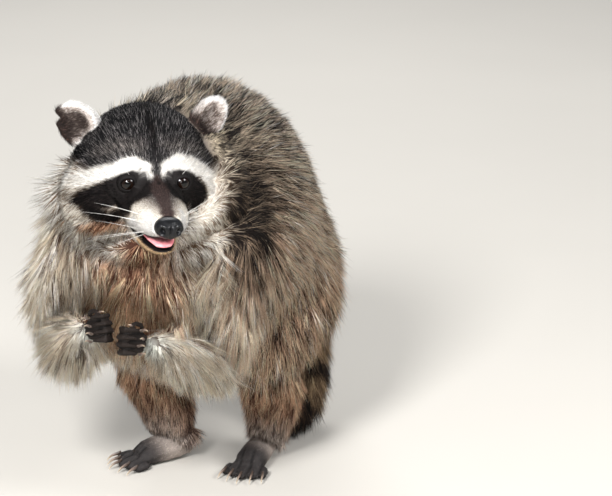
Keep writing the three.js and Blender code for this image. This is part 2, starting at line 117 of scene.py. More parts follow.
def onFace(x, y, z):
    return faceHome + faceScale * (faceAxes @ np.array([x, y, z], float))


def onFaceAll(face):
    return faceHome + faceScale * (face @ faceAxes.T)


def toFace(points):
    return (points - faceHome) @ faceAxes / faceScale


def newObject(name, verts, faces, smooth=True):
    mesh = bpy.data.meshes.new(name)
    faces = np.asarray(faces)
    corners = faces.shape[1]
    mesh.vertices.add(len(verts))
    mesh.vertices.foreach_set("co", np.asarray(verts, np.float32).ravel())
    mesh.loops.add(faces.size)
    mesh.loops.foreach_set("vertex_index", faces.astype(np.int32).ravel())
    mesh.polygons.add(len(faces))
    mesh.polygons.foreach_set("loop_start", np.arange(0, faces.size, corners, dtype=np.int32))
    mesh.update(calc_edges=True)
    mesh.validate()
    if smooth:
        mesh.shade_smooth()
    obj = bpy.data.objects.new(name, mesh)
    bpy.context.scene.collection.objects.link(obj)
    return obj


def trianglesOf(mesh):
    mesh.calc_loop_triangles()
    tris = np.empty(len(mesh.loop_triangles) * 3, np.int32)
    mesh.loop_triangles.foreach_get("vertices", tris)
    verts = np.empty(len(mesh.vertices) * 3)
    mesh.vertices.foreach_get("co", verts)
    return verts.reshape(-1, 3), tris.reshape(-1, 3)


def edgesOf(tris):
    pairs = np.concatenate([tris[:, [0, 1]], tris[:, [1, 2]], tris[:, [2, 0]]])
    pairs.sort(1)
    return np.unique(pairs, axis=0)


def withModifier(verts, tris, kind, group=None, **settings):
    obj = newObject("working", verts, tris, smooth=False)
    if group is not None:
        held = obj.vertex_groups.new(name="held")
        for level in np.unique(np.round(group, 1)):
            held.add(np.nonzero(np.round(group, 1) == level)[0].tolist(), float(level), "REPLACE")
    modifier = obj.modifiers.new("step", kind)
    for key, value in settings.items():
        setattr(modifier, key, value)
    dg = bpy.context.evaluated_depsgraph_get()
    mesh = bpy.data.meshes.new_from_object(obj.evaluated_get(dg))
    out = trianglesOf(mesh)
    bpy.data.objects.remove(obj)
    bpy.data.meshes.remove(mesh)
    return out


def joinedParts(parts):
    starts = np.cumsum([0] + [len(v) for v, _ in parts[:-1]])
    tris = [t + start for (_, t), start in zip(parts, starts)]
    return np.concatenate([v for v, _ in parts]), np.concatenate(tris)


def remeshed(parts, voxel):
    # one closed surface round all the parts
    return withModifier(*joinedParts(parts), "REMESH", mode="VOXEL", voxel_size=voxel * mm)


def blurred(values, edges, count, rounds, pull=0.6):
    a, b = edges[:, 0], edges[:, 1]
    degree = np.maximum(np.bincount(a, minlength=count) + np.bincount(b, minlength=count), 1)
    flat = np.array(values, float).reshape(count, -1)
    for _ in range(rounds):
        for k in range(flat.shape[1]):
            column = flat[:, k]
            total = np.bincount(a, column[b], count) + np.bincount(b, column[a], count)
            flat[:, k] = column + pull * (total / degree - column)
    return flat.reshape(np.shape(values))


def eased(verts, edges, rounds):
    # smooths without shrinking
    for _ in range(rounds):
        verts = blurred(verts, edges, len(verts), 1, 0.5)
        verts = blurred(verts, edges, len(verts), 1, -0.52)
    return verts


def nearestIn(points, places):
    # the number of the point that is nearest each place
    tree = KDTree(len(points))
    for i, p in enumerate(points.tolist()):
        tree.insert(p, i)
    tree.balance()
    return [tree.find(p)[1] for p in places.tolist()]


def cells(rows, sides, first=0):
    # the four corners of every cell of a grid of rings, whose vertices are numbered from "first"
    for i in range(rows):
        for j in range(sides):
            a, b = first + i * sides + j, first + i * sides + (j + 1) % sides
            yield a, b, a + sides, b + sides


def normalsOf(verts, tris):
    face = np.cross(verts[tris[:, 1]] - verts[tris[:, 0]], verts[tris[:, 2]] - verts[tris[:, 0]])
    out = np.zeros_like(verts)
    for corner in range(3):
        for k in range(3):
            out[:, k] += np.bincount(tris[:, corner], face[:, k], len(verts))
    return unit(out)


def tube(path, radii, sides, flat=None):
    # a closed tube along a path; "flat" squashes it along a direction
    path = np.asarray(path, float)
    radii = np.broadcast_to(radii, (len(path),)).astype(float)
    tangents = unit(np.gradient(path, axis=0))
    first = np.cross(tangents[0], [0.31, 0.17, 0.93])
    frames = []
    side = unit(first)
    for t in tangents:
        side = unit(side - t * (side @ t))
        frames.append((side, np.cross(t, side)))
    angles = np.linspace(0, 2 * math.pi, sides, endpoint=False)
    rings = []
    for p, r, (u, w) in zip(path, radii, frames):
        ring = r * (np.cos(angles)[:, None] * u + np.sin(angles)[:, None] * w)
        if flat is not None:
            direction, share = flat
            ring -= (ring @ direction)[:, None] * direction * (1 - share)
        rings.append(p + ring)
    verts = np.concatenate(rings + [path[:1], path[-1:]])
    tris = [t for a, b, c, d in cells(len(path) - 1, sides) for t in ((a, b, d), (a, d, c))]
    start, end = len(path) * sides, len(path) * sides + 1
    last = (len(path) - 1) * sides
    for j in range(sides):
        tris += [(start, (j + 1) % sides, j), (end, last + j, last + (j + 1) % sides)]
    return verts, np.array(tris)


def ball(centre, half, axes=np.eye(3), sides=24, rings=16):
    # a closed ellipsoid whose half sizes lie along "axes"
    polar = np.linspace(0, math.pi, rings + 1)[1:-1]
    turns = np.linspace(0, 2 * math.pi, sides, endpoint=False)
    grid = np.array([(math.sin(a) * math.cos(b), math.sin(a) * math.sin(b), math.cos(a))
                     for a in polar for b in turns])
    local = np.concatenate([grid, [[0, 0, 1], [0, 0, -1]]])
    tris = [t for a, b, c, d in cells(rings - 2, sides) for t in ((a, c, d), (a, d, b))]
    top, low, last = len(grid), len(grid) + 1, (rings - 2) * sides
    for j in range(sides):
        tris += [(top, j, (j + 1) % sides), (low, last + (j + 1) % sides, last + j)]
    return centre + (local * half) @ axes.T, np.array(tris)


# For each kind of node: how deep the coat lies on the skin, how long its tufts are, how far they lift,
# how many there are for their area, how much they clump, and how wide they are at the root.
coatKinds = {
    "neck": dict(depth=11, length=20, lift=20, crowd=1.0, clump=0.32, width=0.56),
    "chest": dict(depth=18, length=37, lift=30, crowd=1.0, clump=0.60, width=0.56),
    "belly": dict(depth=13, length=28, lift=25, crowd=1.0, clump=0.42, width=0.72),
    "rump": dict(depth=13, length=29, lift=25, crowd=1.0, clump=0.40, width=0.68),
    "upper_arm": dict(depth=15, length=36, lift=30, crowd=1.05, clump=0.60, width=0.58),
    "forearm": dict(depth=10, length=34, lift=36, crowd=1.6, clump=0.62, width=0.54),
    "thigh": dict(depth=14, length=28, lift=26, crowd=1.0, clump=0.36, width=0.62),
    "shank": dict(depth=8, length=18, lift=25, crowd=1.4, clump=0.28, width=0.54),
    "tail": dict(depth=12, length=26, lift=30, crowd=1.2, clump=0.28, width=0.56),
    "hand": dict(depth=0.9, length=2.6, lift=16, crowd=1.0, clump=0.1, width=0.24),
    "foot": dict(depth=1.2, length=4.2, lift=16, crowd=1.0, clump=0.15, width=0.3),
    "ear": dict(depth=0.7, length=5.2, lift=30, crowd=1.0, clump=0.2, width=0.28),
    "head": dict(depth=2, length=6, lift=26, crowd=1.0, clump=0.2, width=0.3),
    "lower_jaw": dict(depth=1.2, length=3.4, lift=20, crowd=1.0, clump=0.2, width=0.28),
}


def kindOf(node):
    return next(k for k in coatKinds if node.startswith(k))


# The head's coat lengthens with the distance from the tip of the nose, and most of all on the cheeks and
# where the head runs into the neck.
headCoat = {
    "from": (0, -58, -22),
    "reach": [0, 25, 50, 66, 80, 95, 115, 140],
    "length": [1.8, 2.4, 3.2, 4.4, 5.6, 6.8, 8.2, 9.0],
    "cheek": 2.3,
    "behind": 0.9,
    "eyeRing": (8, 20),
    "depth": 0.34,  # of the length
    "least": 0.9,
    "sunk": 4,  # next to the neck
}


# Zones on the head's own directions: how far to the sides, back and down each one starts or ends.
headZones = {
    "cheek": dict(out=(48, 64), down=(-26, 2), back=(24, 50)),
    "jaw": dict(back=(4, 34), down=(34, 52)),
    "behind": dict(back=(42, 70), top=(2, 22), out=(16, 34)),
}


def behindCheek(face):
    # one where the sides of the head run into the neck
    zone = headZones["behind"]
    share = rise(face[:, 1], *zone["back"]) * (1 - rise(face[:, 2], *zone["top"]))
    return share * rise(np.abs(face[:, 0]), *zone["out"])


def headLength(face):
    away = np.linalg.norm(face - np.array(headCoat["from"]), axis=1)
    length = np.interp(away, headCoat["reach"], headCoat["length"])
    zone = headZones["cheek"]
    cheek = rise(np.abs(face[:, 0]), *zone["out"]) * rise(-face[:, 2], *zone["down"])
    cheek = cheek * rise(face[:, 1], *zone["back"])
    zone = headZones["jaw"]
    cheek = np.maximum(cheek, rise(face[:, 1], *zone["back"]) * rise(-face[:, 2], *zone["down"]))
    length = length * (1 + headCoat["cheek"] * cheek + headCoat["behind"] * behindCheek(face))
    for side in (-1, 1):
        near = np.linalg.norm(face - np.array([side * eyeGapAsMade / 2, 0, 0]), axis=1)
        low, high = headCoat["eyeRing"]
        length = length * (0.5 + 0.5 * rise(near, low, high))
    return length


def coreOf(names, voxel, rounds):
    # the outer shape of some nodes as one smooth surface, with the nearest node for every vertex
    solids = [trianglesOf(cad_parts[n].data) for n in names]
    verts, tris = remeshed(solids, voxel)
    edges = edgesOf(tris)
    verts = eased(verts, edges, rounds)
    nodeOf = np.repeat(np.arange(len(names)), [len(t) for _, t in solids])
    allVerts, allTris = joinedParts(solids)
    tree = BVHTree.FromPolygons(allVerts.tolist(), allTris.tolist())
    near = nodeOf[[tree.find_nearest(Vector(v))[2] for v in verts.tolist()]]
    return verts, tris, edges, np.array(names)[near]


def shrunk(verts, tris, edges, depth, rounds):
    # moves a surface in by the depth of the coat, in small steps so that it doesn't fold
    depth = blurred(depth, edges, len(verts), rounds)
    steps = 4
    out = verts
    for _ in range(steps):
        normals = unit(blurred(normalsOf(out, tris), edges, len(out), 4))
        out = out - normals * depth[:, None] * mm / steps
        out = blurred(out, edges, len(out), 1, 0.4)
    return out


wristCoat = {"least": 0.3, "from": 14, "limbs": [("hand", "forearm", 40), ("foot", "shank", 45)]}


def depthFor(labels, verts):
    depth = np.array([coatKinds[kindOf(n)]["depth"] for n in labels], float)
    face = toFace(verts)
    isHead = np.isin(labels, fleshNodes["head"])
    depth[isHead] = np.maximum(headCoat["depth"] * headLength(face[isHead]), headCoat["least"])
    depth[isHead] += headCoat["sunk"] * behindCheek(face[isHead])
    # the wrists and ankles are thinner in the coat than the limbs they end
    for side in ("left", "right"):
        for paw, limb, reach in wristCoat["limbs"]:
            on = labels == limb + "_" + side
            away = gapTo(verts, spot(paw + "_" + side))[on]
            depth[on] *= wristCoat["least"] + (1 - wristCoat["least"]) * rise(away, wristCoat["from"], reach)
    return depth


temples = {"wider": 0.06, "from": (0, 22)}  # how much wider the head is above the eyes
# For each core under the coat: its voxels, how often it is eased, and how softly its depth changes.
corePlans = {
    "body": dict(voxel=3.0, rounds=30, soft=14),
    "head": dict(voxel=1.7, rounds=8, soft=14),
    "ears": dict(voxel=0.9, rounds=6, soft=14),
    "paws": dict(voxel=0.9, rounds=4, soft=2),
}

print("raccoon: shaping the skin")
cores = []
for group, plan in corePlans.items():
    verts, tris, edges, labels = coreOf(fleshNodes[group], plan["voxel"], plan["rounds"])
    core = shrunk(verts, tris, edges, depthFor(labels, verts), plan["soft"])
    if group == "head":
        place = toFace(core)
        place[:, 0] *= 1 + temples["wider"] * rise(place[:, 2], *temples["from"])
        core = onFaceAll(place)
    cores.append(dict(verts=core, tris=tris, labels=labels))
    print("  core", group, len(tris), "triangles")


# The skin: its voxels, how many triangles it keeps, and the part of the head where all of them are kept.
skinPlan = dict(voxel=1.15, rounds=3, most=188000, fineFront=(22, 34), fineAbove=(-75, -60), groove=1.1)
# Where the valley between head and neck is smoothed, on the head's own Y and Z and away from the ears.
headJoint = dict(rounds=120, start=(46, 66), end=(104, 140), above=(-110, -80), ears=(1, 9))
lids = dict(
    radius=7.6, width=6.7, height=5.5, tilt=0.06, gaze=(0.24, -1.0, 0.03),
    rim=0.7, rimOut=0.45, stand=0.9, tuck=1.0,
    open=(0.86, 1.06), fade=(1.2, 2.4), fadeEnd=2.6, reach=16,  # where the skin is moved
    bare=1.22, bareReach=14, ring=(1.2, 2.3), ringReach=18,  # where no tufts grow and where they turn away
)


def eyeFrame(side):
    # the middle of an eye and the directions across, up and out of it
    centre = onFace(side * eyeGapAsMade / 2, *eyeSeat)
    gaze = lids["gaze"]
    out = unit(faceAxes @ np.array([side * gaze[0], gaze[1], gaze[2]]))
    up = unit(faceZ - out * (faceZ @ out))
    return centre, np.cross(up, out) * -side, up, out


def lidShare(points, side):
    # how far out from the middle of the opening, one at the lids' rim, and the way from the eye's middle
    centre, across, up, out = eyeFrame(side)
    away = (points - centre) / faceScale
    radius = np.linalg.norm(away, axis=1)
    x, z, y = away @ across, away @ up, away @ out
    swing = np.arctan2(np.hypot(x, z), y) * lids["radius"]
    turn = np.arctan2(z, x)
    x, z = swing * np.cos(turn), swing * np.sin(turn)
    z = z - lids["tilt"] * x  # the outer corner is the higher one
    return np.hypot(x / lids["width"], z / lids["height"]), radius, away


def opened(verts):
    # lifts the lids round each eye and sinks the opening behind it
    for side in (1, -1):
        share, radius, _ = lidShare(verts, side)
        near = (radius < lids["reach"]) & (share < lids["fadeEnd"])
        lid = lids["radius"] + lids["stand"]
        hidden = lids["radius"] - lids["tuck"]
        wish = hidden + (lid - hidden) * rise(share, *lids["open"])
        wish = wish + (radius - wish) * rise(share, *lids["fade"])
        scale = np.where(near, wish / np.maximum(radius, 1e-6), 1)
        centre = eyeFrame(side)[0]
        verts = np.where(near[:, None], centre + (verts - centre) * scale[:, None], verts)
    return verts


def closedLoop(points, radius, sides=8):
    # a ring-shaped tube
    tangent = unit(np.roll(points, -1, 0) - np.roll(points, 1, 0))
    outward = unit(points - points.mean(0))
    outward = unit(outward - tangent * (outward * tangent).sum(1)[:, None])
    other = np.cross(tangent, outward)
    angles = np.linspace(0, 2 * math.pi, sides, endpoint=False)[None, :, None]
    spread = np.cos(angles) * outward[:, None] + np.sin(angles) * other[:, None]
    verts = (points[:, None] + radius * spread).reshape(-1, 3)
    tris = [t for a, b, c, d in cells(len(points), sides) for t in ((a, b, d), (a, d, c))]
    return verts, np.array(tris) % len(verts)


def lidRings():
    rings = []
    for side in (1, -1):
        centre, across, up, out = eyeFrame(side)
        loop = []
        for a in np.linspace(0, 2 * math.pi, 48, endpoint=False):
            x = math.cos(a) * lids["width"]
            z = math.sin(a) * lids["height"] + lids["tilt"] * x
            swing = math.hypot(x, z) / lids["radius"]
            turn = math.atan2(z, x)
            outward = math.cos(turn) * across + math.sin(turn) * up
            ray = math.cos(swing) * out + math.sin(swing) * outward
            loop.append(centre + ray * (lids["radius"] + lids["rimOut"]) * faceScale)
        rings.append(closedLoop(np.array(loop), lids["rim"] * mm))
    return rings


def nearestCore(verts):
    # the node of the core vertex nearest each skin vertex
    points = np.concatenate([c["verts"] for c in cores])
    labels = np.concatenate([c["labels"] for c in cores])
    return labels[nearestIn(points, verts)]


nosePoints = toFace(trianglesOf(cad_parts["nose"].data)[0])
noseAt = (nosePoints.min(0) + nosePoints.max(0)) / 2
noseHalf = (nosePoints.max(0) - nosePoints.min(0)) / 2

# The mouth's room, as half width and half height where it is cut, from the corners to the front.
mouthRoom = {
    "y": [-60, -22, 4], "z": [-39.5, -38, -35], "wide": [17, 19, 24], "deep": [7, 5.5, 4], "ends": (-66, 8),
    "lip": (1.18, 1.42), "lipTop": -28,  # how far the dark lip reaches round it, and how high
}


def mouthShare(points):
    # less than one inside the mouth
    face = toFace(points)
    place = face[:, 1]
    middle, wide, deep = (np.interp(place, mouthRoom["y"], mouthRoom[k]) for k in ("z", "wide", "deep"))
    share = np.hypot(face[:, 0] / wide, (face[:, 2] - middle) / deep)
    front, back = mouthRoom["ends"]
    return np.where((place < back) & (place > front), share, 9.0)


# Plugs that close the seats of the eyes and the nose behind those pieces.
plugSize = {"eyes": 1.3, "nose": 0.74}
eyePlug = (lids["radius"] + plugSize["eyes"]) * faceScale * np.ones(3)
plugs = [ball(eyeFrame(side)[0], eyePlug) for side in (1, -1)]
plugs.append(ball(onFace(*noseAt), noseHalf * plugSize["nose"] * faceScale, faceAxes))
verts, tris = remeshed([(c["verts"], c["tris"]) for c in cores] + plugs, skinPlan["voxel"])
edges = edgesOf(tris)
verts = eased(verts, edges, skinPlan["rounds"])
# the valley and the step where the head joins the neck are eased away from behind
face = toFace(verts)
joint = rise(face[:, 1], *headJoint["start"]) * (1 - rise(face[:, 1], *headJoint["end"]))
joint = joint * rise(face[:, 2], *headJoint["above"])
for ear in fleshNodes["ears"]:
    away = gapTo(verts, np.clip(verts, *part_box(ear)))
    joint = joint * rise(away, *headJoint["ears"])
verts = verts + joint[:, None] * (blurred(verts, edges, len(verts), headJoint["rounds"]) - verts)
verts = opened(verts)
face = toFace(verts)
keep = (1 - rise(face[:, 1], *skinPlan["fineFront"])) * rise(face[:, 2], *skinPlan["fineAbove"])
for node in fleshNodes["paws"] + fleshNodes["ears"]:
    low, high = (np.array(c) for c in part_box(node))
    inside = np.all((verts > low - 2 * mm) & (verts < high + 2 * mm), axis=1)
    keep = np.maximum(keep, inside)
# the coat hides the rest of the skin, which needs fewer triangles
verts, tris = withModifier(verts, tris, "DECIMATE", group=1 - keep, ratio=skinPlan["most"] / len(tris),
                           vertex_group="held", vertex_group_factor=8.0, use_collapse_triangulate=True)
skinEdges = edgesOf(tris)
labels = nearestCore(verts)
face = toFace(verts)


def fingerShare(points, names):
    # one in the grooves between the fingers and toes, nought along their tops
    out = np.zeros(len(points))
    for paw, slim in (("hand", 1.0), ("foot", 1.1)):
        for side in ("left", "right"):
            claws = np.array([spot(f"{paw}_claw_{side}_{k}") for k in range(1, 5 if paw == "hand" else 6)])
            across = unit(claws[-1] - claws[0])
            home = spot(paw + "_" + side)
            pick = names == paw + "_" + side
            order = np.sort(claws @ across)
            local = points[pick] @ across
            ahead = unit(claws.mean(0) - home)
            past = (points[pick] - home) @ ahead / mm
            for a, b in zip(order[:-1], order[1:]):
                groove = np.exp(-((local - (a + b) / 2) / (slim * mm)) ** 2)
                near = 1.0 if paw == "hand" else rise(past, 0, 12)
                out[pick] = np.maximum(out[pick], groove * near)
    return out


tears = [(8, 12, -0.30), (30, 13, 0.12)]  # where round the ear, how wide, and how far out


def torn(points, names):
    # the right ear has a nick in its outer edge, with a small point above it
    pick = names == "ear_right"
    middle = points[pick].mean(0)
    away = points[pick] - middle
    x, z = -away @ faceX, away @ faceZ
    reach = np.hypot(x, z)
    edge = rise(reach / reach.max(), 0.45, 0.85)[:, None]
    turn = np.degrees(np.arctan2(z, x))
    for angle, wide, push in tears:
        points[pick] += away * push * edge * np.exp(-((turn - angle) / wide) ** 2)[:, None]
    return points


verts = torn(verts, labels)
normals = normalsOf(verts, tris)
# the grooves are cut into the skin here and darkened in makeSkin as painted shade
grooves = fingerShare(verts, labels)
verts = verts - normals * (skinPlan["groove"] * mm * grooves)[:, None]
normals = unit(blurred(normalsOf(verts, tris), skinEdges, len(verts), 2))
print("  one skin of", len(tris), "triangles")


def blurredOver(values, rounds):
    return blurred(values, skinEdges, len(verts), rounds)


def called(start):
    # the skin's vertices that belong to nodes with this start to their names
    return np.char.startswith(labels.astype(str), start)


isHead = np.isin(labels, fleshNodes["head"])
isEar = called("ear")
isPaw = called("hand") | called("foot")

# Each kind of coat is a light tint, a dark tint, the tint at the roots (partly the darker underfur and partly
# painted shade deep in the coat, between the locks), and the share of its tufts that are light.
tints = {
    "back": ("EED4BA", "120C0B", "201814", 0.44),
    "nape": ("C9B99F", "1A1512", "221B18", 0.40),
    # gap: dark brown standing in for the shadow between the pale ruff and the flank, behind the left cheek
    "gap": ("8F7A66", "1A1310", "1E1613", 0.24),
    "flank": ("FFD9BC", "120704", "3A2015", 0.80),
    "chest": ("FFE2C2", "40251A", "44281A", 0.78),
    "throat": ("F0B994", "603627", "503126", 0.58),
    "ruff": ("FFF8EA", "80664E", "6A5442", 0.80),
    "arm": ("FFE9CE", "472A1C", "482B1C", 0.88),
    "wrist": ("C8CAC2", "6A6862", "605B55", 0.80),
    "belly": ("FFD6BC", "20110A", "3A2419", 0.74),
    "thigh": ("F0C8A8", "351F18", "3C261C", 0.60),
    "shank": ("E8B694", "4E3024", "482F24", 0.56),
    "ankle": ("C9BCB2", "5A4D47", "5A4D47", 0.60),
    "toe": ("55504E", "1D1A1B", "242020", 0.28),
    "hand": ("40332C", "0F0C0B", "120E0D", 0.22),
    "tailDark": ("4F3D31", "140F0D", "1C1512", 0.24),
    "tailPale": ("B39777", "48382B", "3F3127", 0.60),
    "crown": ("9A9492", "08070A", "09090B", 0.12),
    "brow": ("9E958F", "0F0C0D", "121010", 0.26),
    "white": ("EFECE7", "E6DFD4", "A6998A", 0.86),
    "muzzle": ("E0DDD9", "B3ADA8", "98908A", 0.76),
    "mask": ("352C2A", "050404", "070506", 0.16),
    "bridge": ("5E4A44", "150E0F", "1A1314", 0.30),
    "chin": ("E8C59B", "8E6C4E", "84674E", 0.78),
    "lip": ("161314", "080708", "0B0A0A", 0.2),
    "earRim": ("FFFCF8", "DDD6D0", "BFB3AA", 0.92),
    "earInner": ("E6DCD4", "6A5448", "6B554B", 0.60),
    "earDark": ("4A3831", "140F0E", "1C1513", 0.3),
    "earBack": ("77716E", "1A1718", "221E1E", 0.35),
}
recipes = {k: np.concatenate([ink(a), ink(b), ink(c), [d]]) for k, (a, b, c, d) in tints.items()}


def wobble(p, size):
    # soft, even noise between minus one and one, the same for the skin and its coat
    q = p / size
    slow = np.sin(q[:, 0] * 1.7 + 2.1 * np.sin(q[:, 1] * 1.3 + q[:, 2]))
    fast = np.sin(q[:, 1] * 2.3 + q[:, 2] * 1.1)
    return (slow + fast + np.sin(q[:, 2] * 1.9 - q[:, 0] * 1.2 + 1.3 * np.sin(q[:, 0] * 0.9))) / 3


def moved(paint, name, share):
    # the paint moved towards a kind of coat, each row by its own share
    return paint + (recipes[name] - paint) * share[:, None]


def strokeShare(face, stroke, soft):
    # nought away from a stroke drawn through points with radii, one inside it
    line = np.array(stroke, float)
    best = np.full(len(face), 1e9)
    for a, b in zip(line[:-1], line[1:]):
        along = b[:3] - a[:3]
        t = np.clip((face - a[:3]) @ along / max(along @ along, 1e-9), 0, 1)
        gap = np.linalg.norm(face - (a[:3] + t[:, None] * along), axis=1) - (a[3] + t * (b[3] - a[3]))
        best = np.minimum(best, gap)
    return 1 - rise(best + 0.9 * wobble(face, 3.1), -soft, soft)


# Markings of the head in order: the coat, how soft its edge is, the side, and a stroke as points with a
# radius.
headMarks = [
    ("brow", 6, "both", [(12, 8, 30, 7), (30, 16, 26, 8), (46, 24, 20, 7)]),
    ("ruff", 6, "both", [(74, 50, 18, 8), (66, 32, -4, 10), (70, 38, -22, 17), (62, 36, -44, 18),
                         (44, 30, -58, 15)]),
    # painted shadow behind the left cheek, where the pale ruff meets the neck
    ("gap", 6, "left", [(70, 46, 10, 12), (72, 46, -24, 16), (62, 46, -52, 14)]),
    ("throat", 7, "both", [(0, 10, -62, 20), (22, 22, -58, 16), (36, 26, -52, 12)]),
    ("throat", 5, "right", [(-28, 24, -48, 9), (-40, 30, -48, 9), (-50, 32, -48, 6)]),
    ("mask", 2.5, "both", [(10, -16, -4, 8), (19, -8, -14, 8), (28, 0, -24, 7)]),
    ("muzzle", 1.6, "both", [(10, -37, -19, 7.5), (9, -50, -27, 9)]),
    ("muzzle", 1.6, "both", [(21, -17, -30, 5), (19, -25, -28, 8), (13, -38, -31, 9)]),
    ("chin", 2.0, "both", [(0, -34, -48, 9), (14, -24, -46, 9), (26, -9, -41, 5)]),
    ("mask", 2.4, "both", [(9, -13, 1, 5.5), (20, -1, -2, 11.5), (32, 6, -9, 12.5), (38, 10, -13, 10)]),
    ("mask", 2.4, "left", [(39, 10, -20, 9), (34, 6, -28, 7)]),
    ("mask", 2.4, "right", [(-38, 11, -14, 12), (-48, 18, -18, 10.5), (-55, 26, -21, 8),
                            (-64, 34, -19, 4.5)]),
    ("mask", 3.0, "both", [(23, -12, -20, 6), (26, 5, -31, 8), (29, 22, -36, 8)]),
    ("mask", 3.5, "right", [(-48, 18, -26, 9), (-40, 18, -33, 9)]),
    ("bridge", 2.4, "both", [(0, -10, 6, 5.5), (0, -22, -1, 8), (0, -32, -6, 7), (0, -44, -10, 5.5),
                             (0, -54, -14, 5.5)]),
    ("white", 1.5, "right", [(-5.6, -8, 7, 2.6), (-8, -3, 14, 4.6), (-20, 4, 15, 5.6), (-32, 11.5, 7, 5.8),
                             (-42, 18, 2, 6.4), (-51, 24, -3, 7), (-64, 40, -10, 8)]),
    ("white", 1.5, "left", [(5.6, -8, 7, 2.6), (8, -3, 14, 4.6), (20, 5, 16, 6), (32, 11, 11, 6.5),
                            (43, 17, 4, 6.5), (50, 20, -4, 7), (56, 16, -16, 5.5), (57, 12, -30, 5)]),
    ("mask", 1.2, "right", [(-13.5, -4, 7, 1.8), (-13, -1, 13, 1.0)]),
    ("mask", 2.0, "both", [(0, 46, 46, 5), (0, 28, 41, 3.6), (0, 13, 33, 2.8), (0, 4, 25, 2.4),
                           (0, -6, 13, 2.2), (0, -13, 4, 2.6)]),
    ("mask", 1.0, "both", [(16, -7, 0, 7.5), (27, -2, 0, 8)]),
    ("lip", 0.8, "both", [(34, -4, -30.5, 1.2), (28, -14, -34.5, 1.3), (22, -26, -37.5, 1.2)]),
    ("lip", 1.0, "both", [(0, -55, -23, 9.5)]),
]


def headPainted(face, base, share):
    # the dark crown comes lower in the middle of the head than at its sides
    over = rise(face[:, 2] + 0.25 * (60 - np.abs(face[:, 0])), -6, 12)
    out = base + (moved(recipes["ruff"], "crown", over) - base) * share[:, None]
    mirrored = face.copy()
    mirrored[:, 0] = np.abs(mirrored[:, 0])
    for name, soft, where, stroke in headMarks:
        points = mirrored if where == "both" else face
        out = moved(out, name, strokeShare(points, stroke, soft) * share)
    gap = mouthShare(onFaceAll(face))
    lipped = (1 - rise(gap, *mouthRoom["lip"])) * (face[:, 2] < mouthRoom["lipTop"]) * share
    return moved(out, "lip", lipped)


def clawMiddle(paw, side):
    return np.mean([spot(f"{paw}_claw_{side}_{k}") for k in range(1, 6)], axis=0)


# the slant over the left shoulder: parting, direction, end of the pale front, end of the painted shadow,
# throat
shoulderLine = dict(parting=-54, toward=(0.866, 0.5, 0.0), edge=(26, 40), gap=(52, 78), throat=-50)


# Where the body's zones of coat change. "up", "down" and "ahead" are which way the skin faces, from minus one
# to one, "above" and "below" are shares of the animal's height, and the distances are millimetres.
bodyZones = {
    "back": dict(up=(0.1, 0.6)),
    "belly": dict(below=(0.30, 0.52), share=0.9),
    "chest": dict(ahead=(0.0, 0.5), down=(-0.75, -0.2), above=(0.34, 0.46)),
    "ruff": dict(back=(-100, -60), over=(-20, 25)),
    "throat": dict(wide=(20, 62), above=(0.40, 0.50), ahead=(0.0, 0.4), under=(34, 56)),
    # the painted shadow in the gap behind the pale front
    "gap": dict(above=(0.55, 0.68), up=(0.3, 0.8)),
    "wrist": dict(far=(22, 36)),
    "ankle": dict(far=(26, 52)),
    "toe": dict(far=(-14, 8)),
}


def bodyRecipe():
    # the kind of coat under each skin vertex of the trunk and limbs, with soft changes between them
    base = np.tile(recipes["back"], (len(verts), 1))

    def lay(name, where, share=1.0):
        pick = np.isin(labels, where)
        base[pick] = moved(base[pick], name, np.broadcast_to(share, (len(verts),))[pick])

    low, high = np.array(cadBox[0]), np.array(cadBox[1])
    tall = (verts[:, 2] - low[2]) / (high[2] - low[2])
    forward = -normals[:, 1]
    up = normals[:, 2]
    trunk = ["chest", "belly", "rump"]
    lay("flank", trunk, 1 - rise(up, *bodyZones["back"]["up"]))
    zone = bodyZones["belly"]
    lay("belly", trunk, (1 - rise(tall, *zone["below"])) * zone["share"])
    # the pale front ends along a slanted line over the left shoulder, with painted shadow in the gap behind
    # it
    slant = verts @ unit(np.array(shoulderLine["toward"])) / mm
    pale = 1 - rise(slant, *shoulderLine["edge"])
    zone = bodyZones["chest"]
    lay("chest", ["chest"], rise(forward, *zone["ahead"]) * rise(-up, *zone["down"]) * pale
        * rise(tall, *zone["above"]))
    lay("nape", ["neck"])
    zone = bodyZones["ruff"]
    lay("ruff", ["neck"], rise(-face[:, 1], *zone["back"]) * (1 - rise(face[:, 2], *zone["over"])) * pale)
    zone = bodyZones["throat"]
    middle = 1 - rise(np.abs(slant - shoulderLine["throat"]), *zone["wide"])
    lay("throat", ["neck", "chest"], middle * rise(tall, *zone["above"]) * rise(forward, *zone["ahead"])
        * rise(-face[:, 2], *zone["under"]))
    for side in ("left", "right"):
        lay("flank", ["upper_arm_" + side])
        lay("arm", ["upper_arm_" + side], pale)
        lay("arm", ["forearm_" + side])
        away = gapTo(verts, spot("hand_" + side))
        lay("wrist", ["forearm_" + side], 1 - rise(away, *bodyZones["wrist"]["far"]))
        lay("hand", ["hand_" + side])
        lay("thigh", ["thigh_" + side])
        lay("shank", ["shank_" + side])
        heel = spot("foot_" + side)
        lay("ankle", ["shank_" + side], 1 - rise(gapTo(verts, heel), *bodyZones["ankle"]["far"]))
        lay("ankle", ["foot_" + side])
        ahead = (verts - heel) @ unit(clawMiddle("foot", side) - heel) / mm
        lay("toe", ["foot_" + side], rise(ahead, *bodyZones["toe"]["far"]))
    # painted shadow in the gap behind the pale front, on the neck, chest and left upper arm, less where it
    # faces up
    zone = bodyZones["gap"]
    shadowGapHere = rise(slant, *shoulderLine["edge"]) * (1 - rise(slant, *shoulderLine["gap"]))
    shadowGapHere = shadowGapHere * rise(tall, *zone["above"])
    lay("gap", ["neck", "chest", "upper_arm_left"], shadowGapHere * (1 - rise(up, *zone["up"])))
    return base


tailPath = [spot("tail_base"), spot("tail_middle"), spot("tail_tip")]


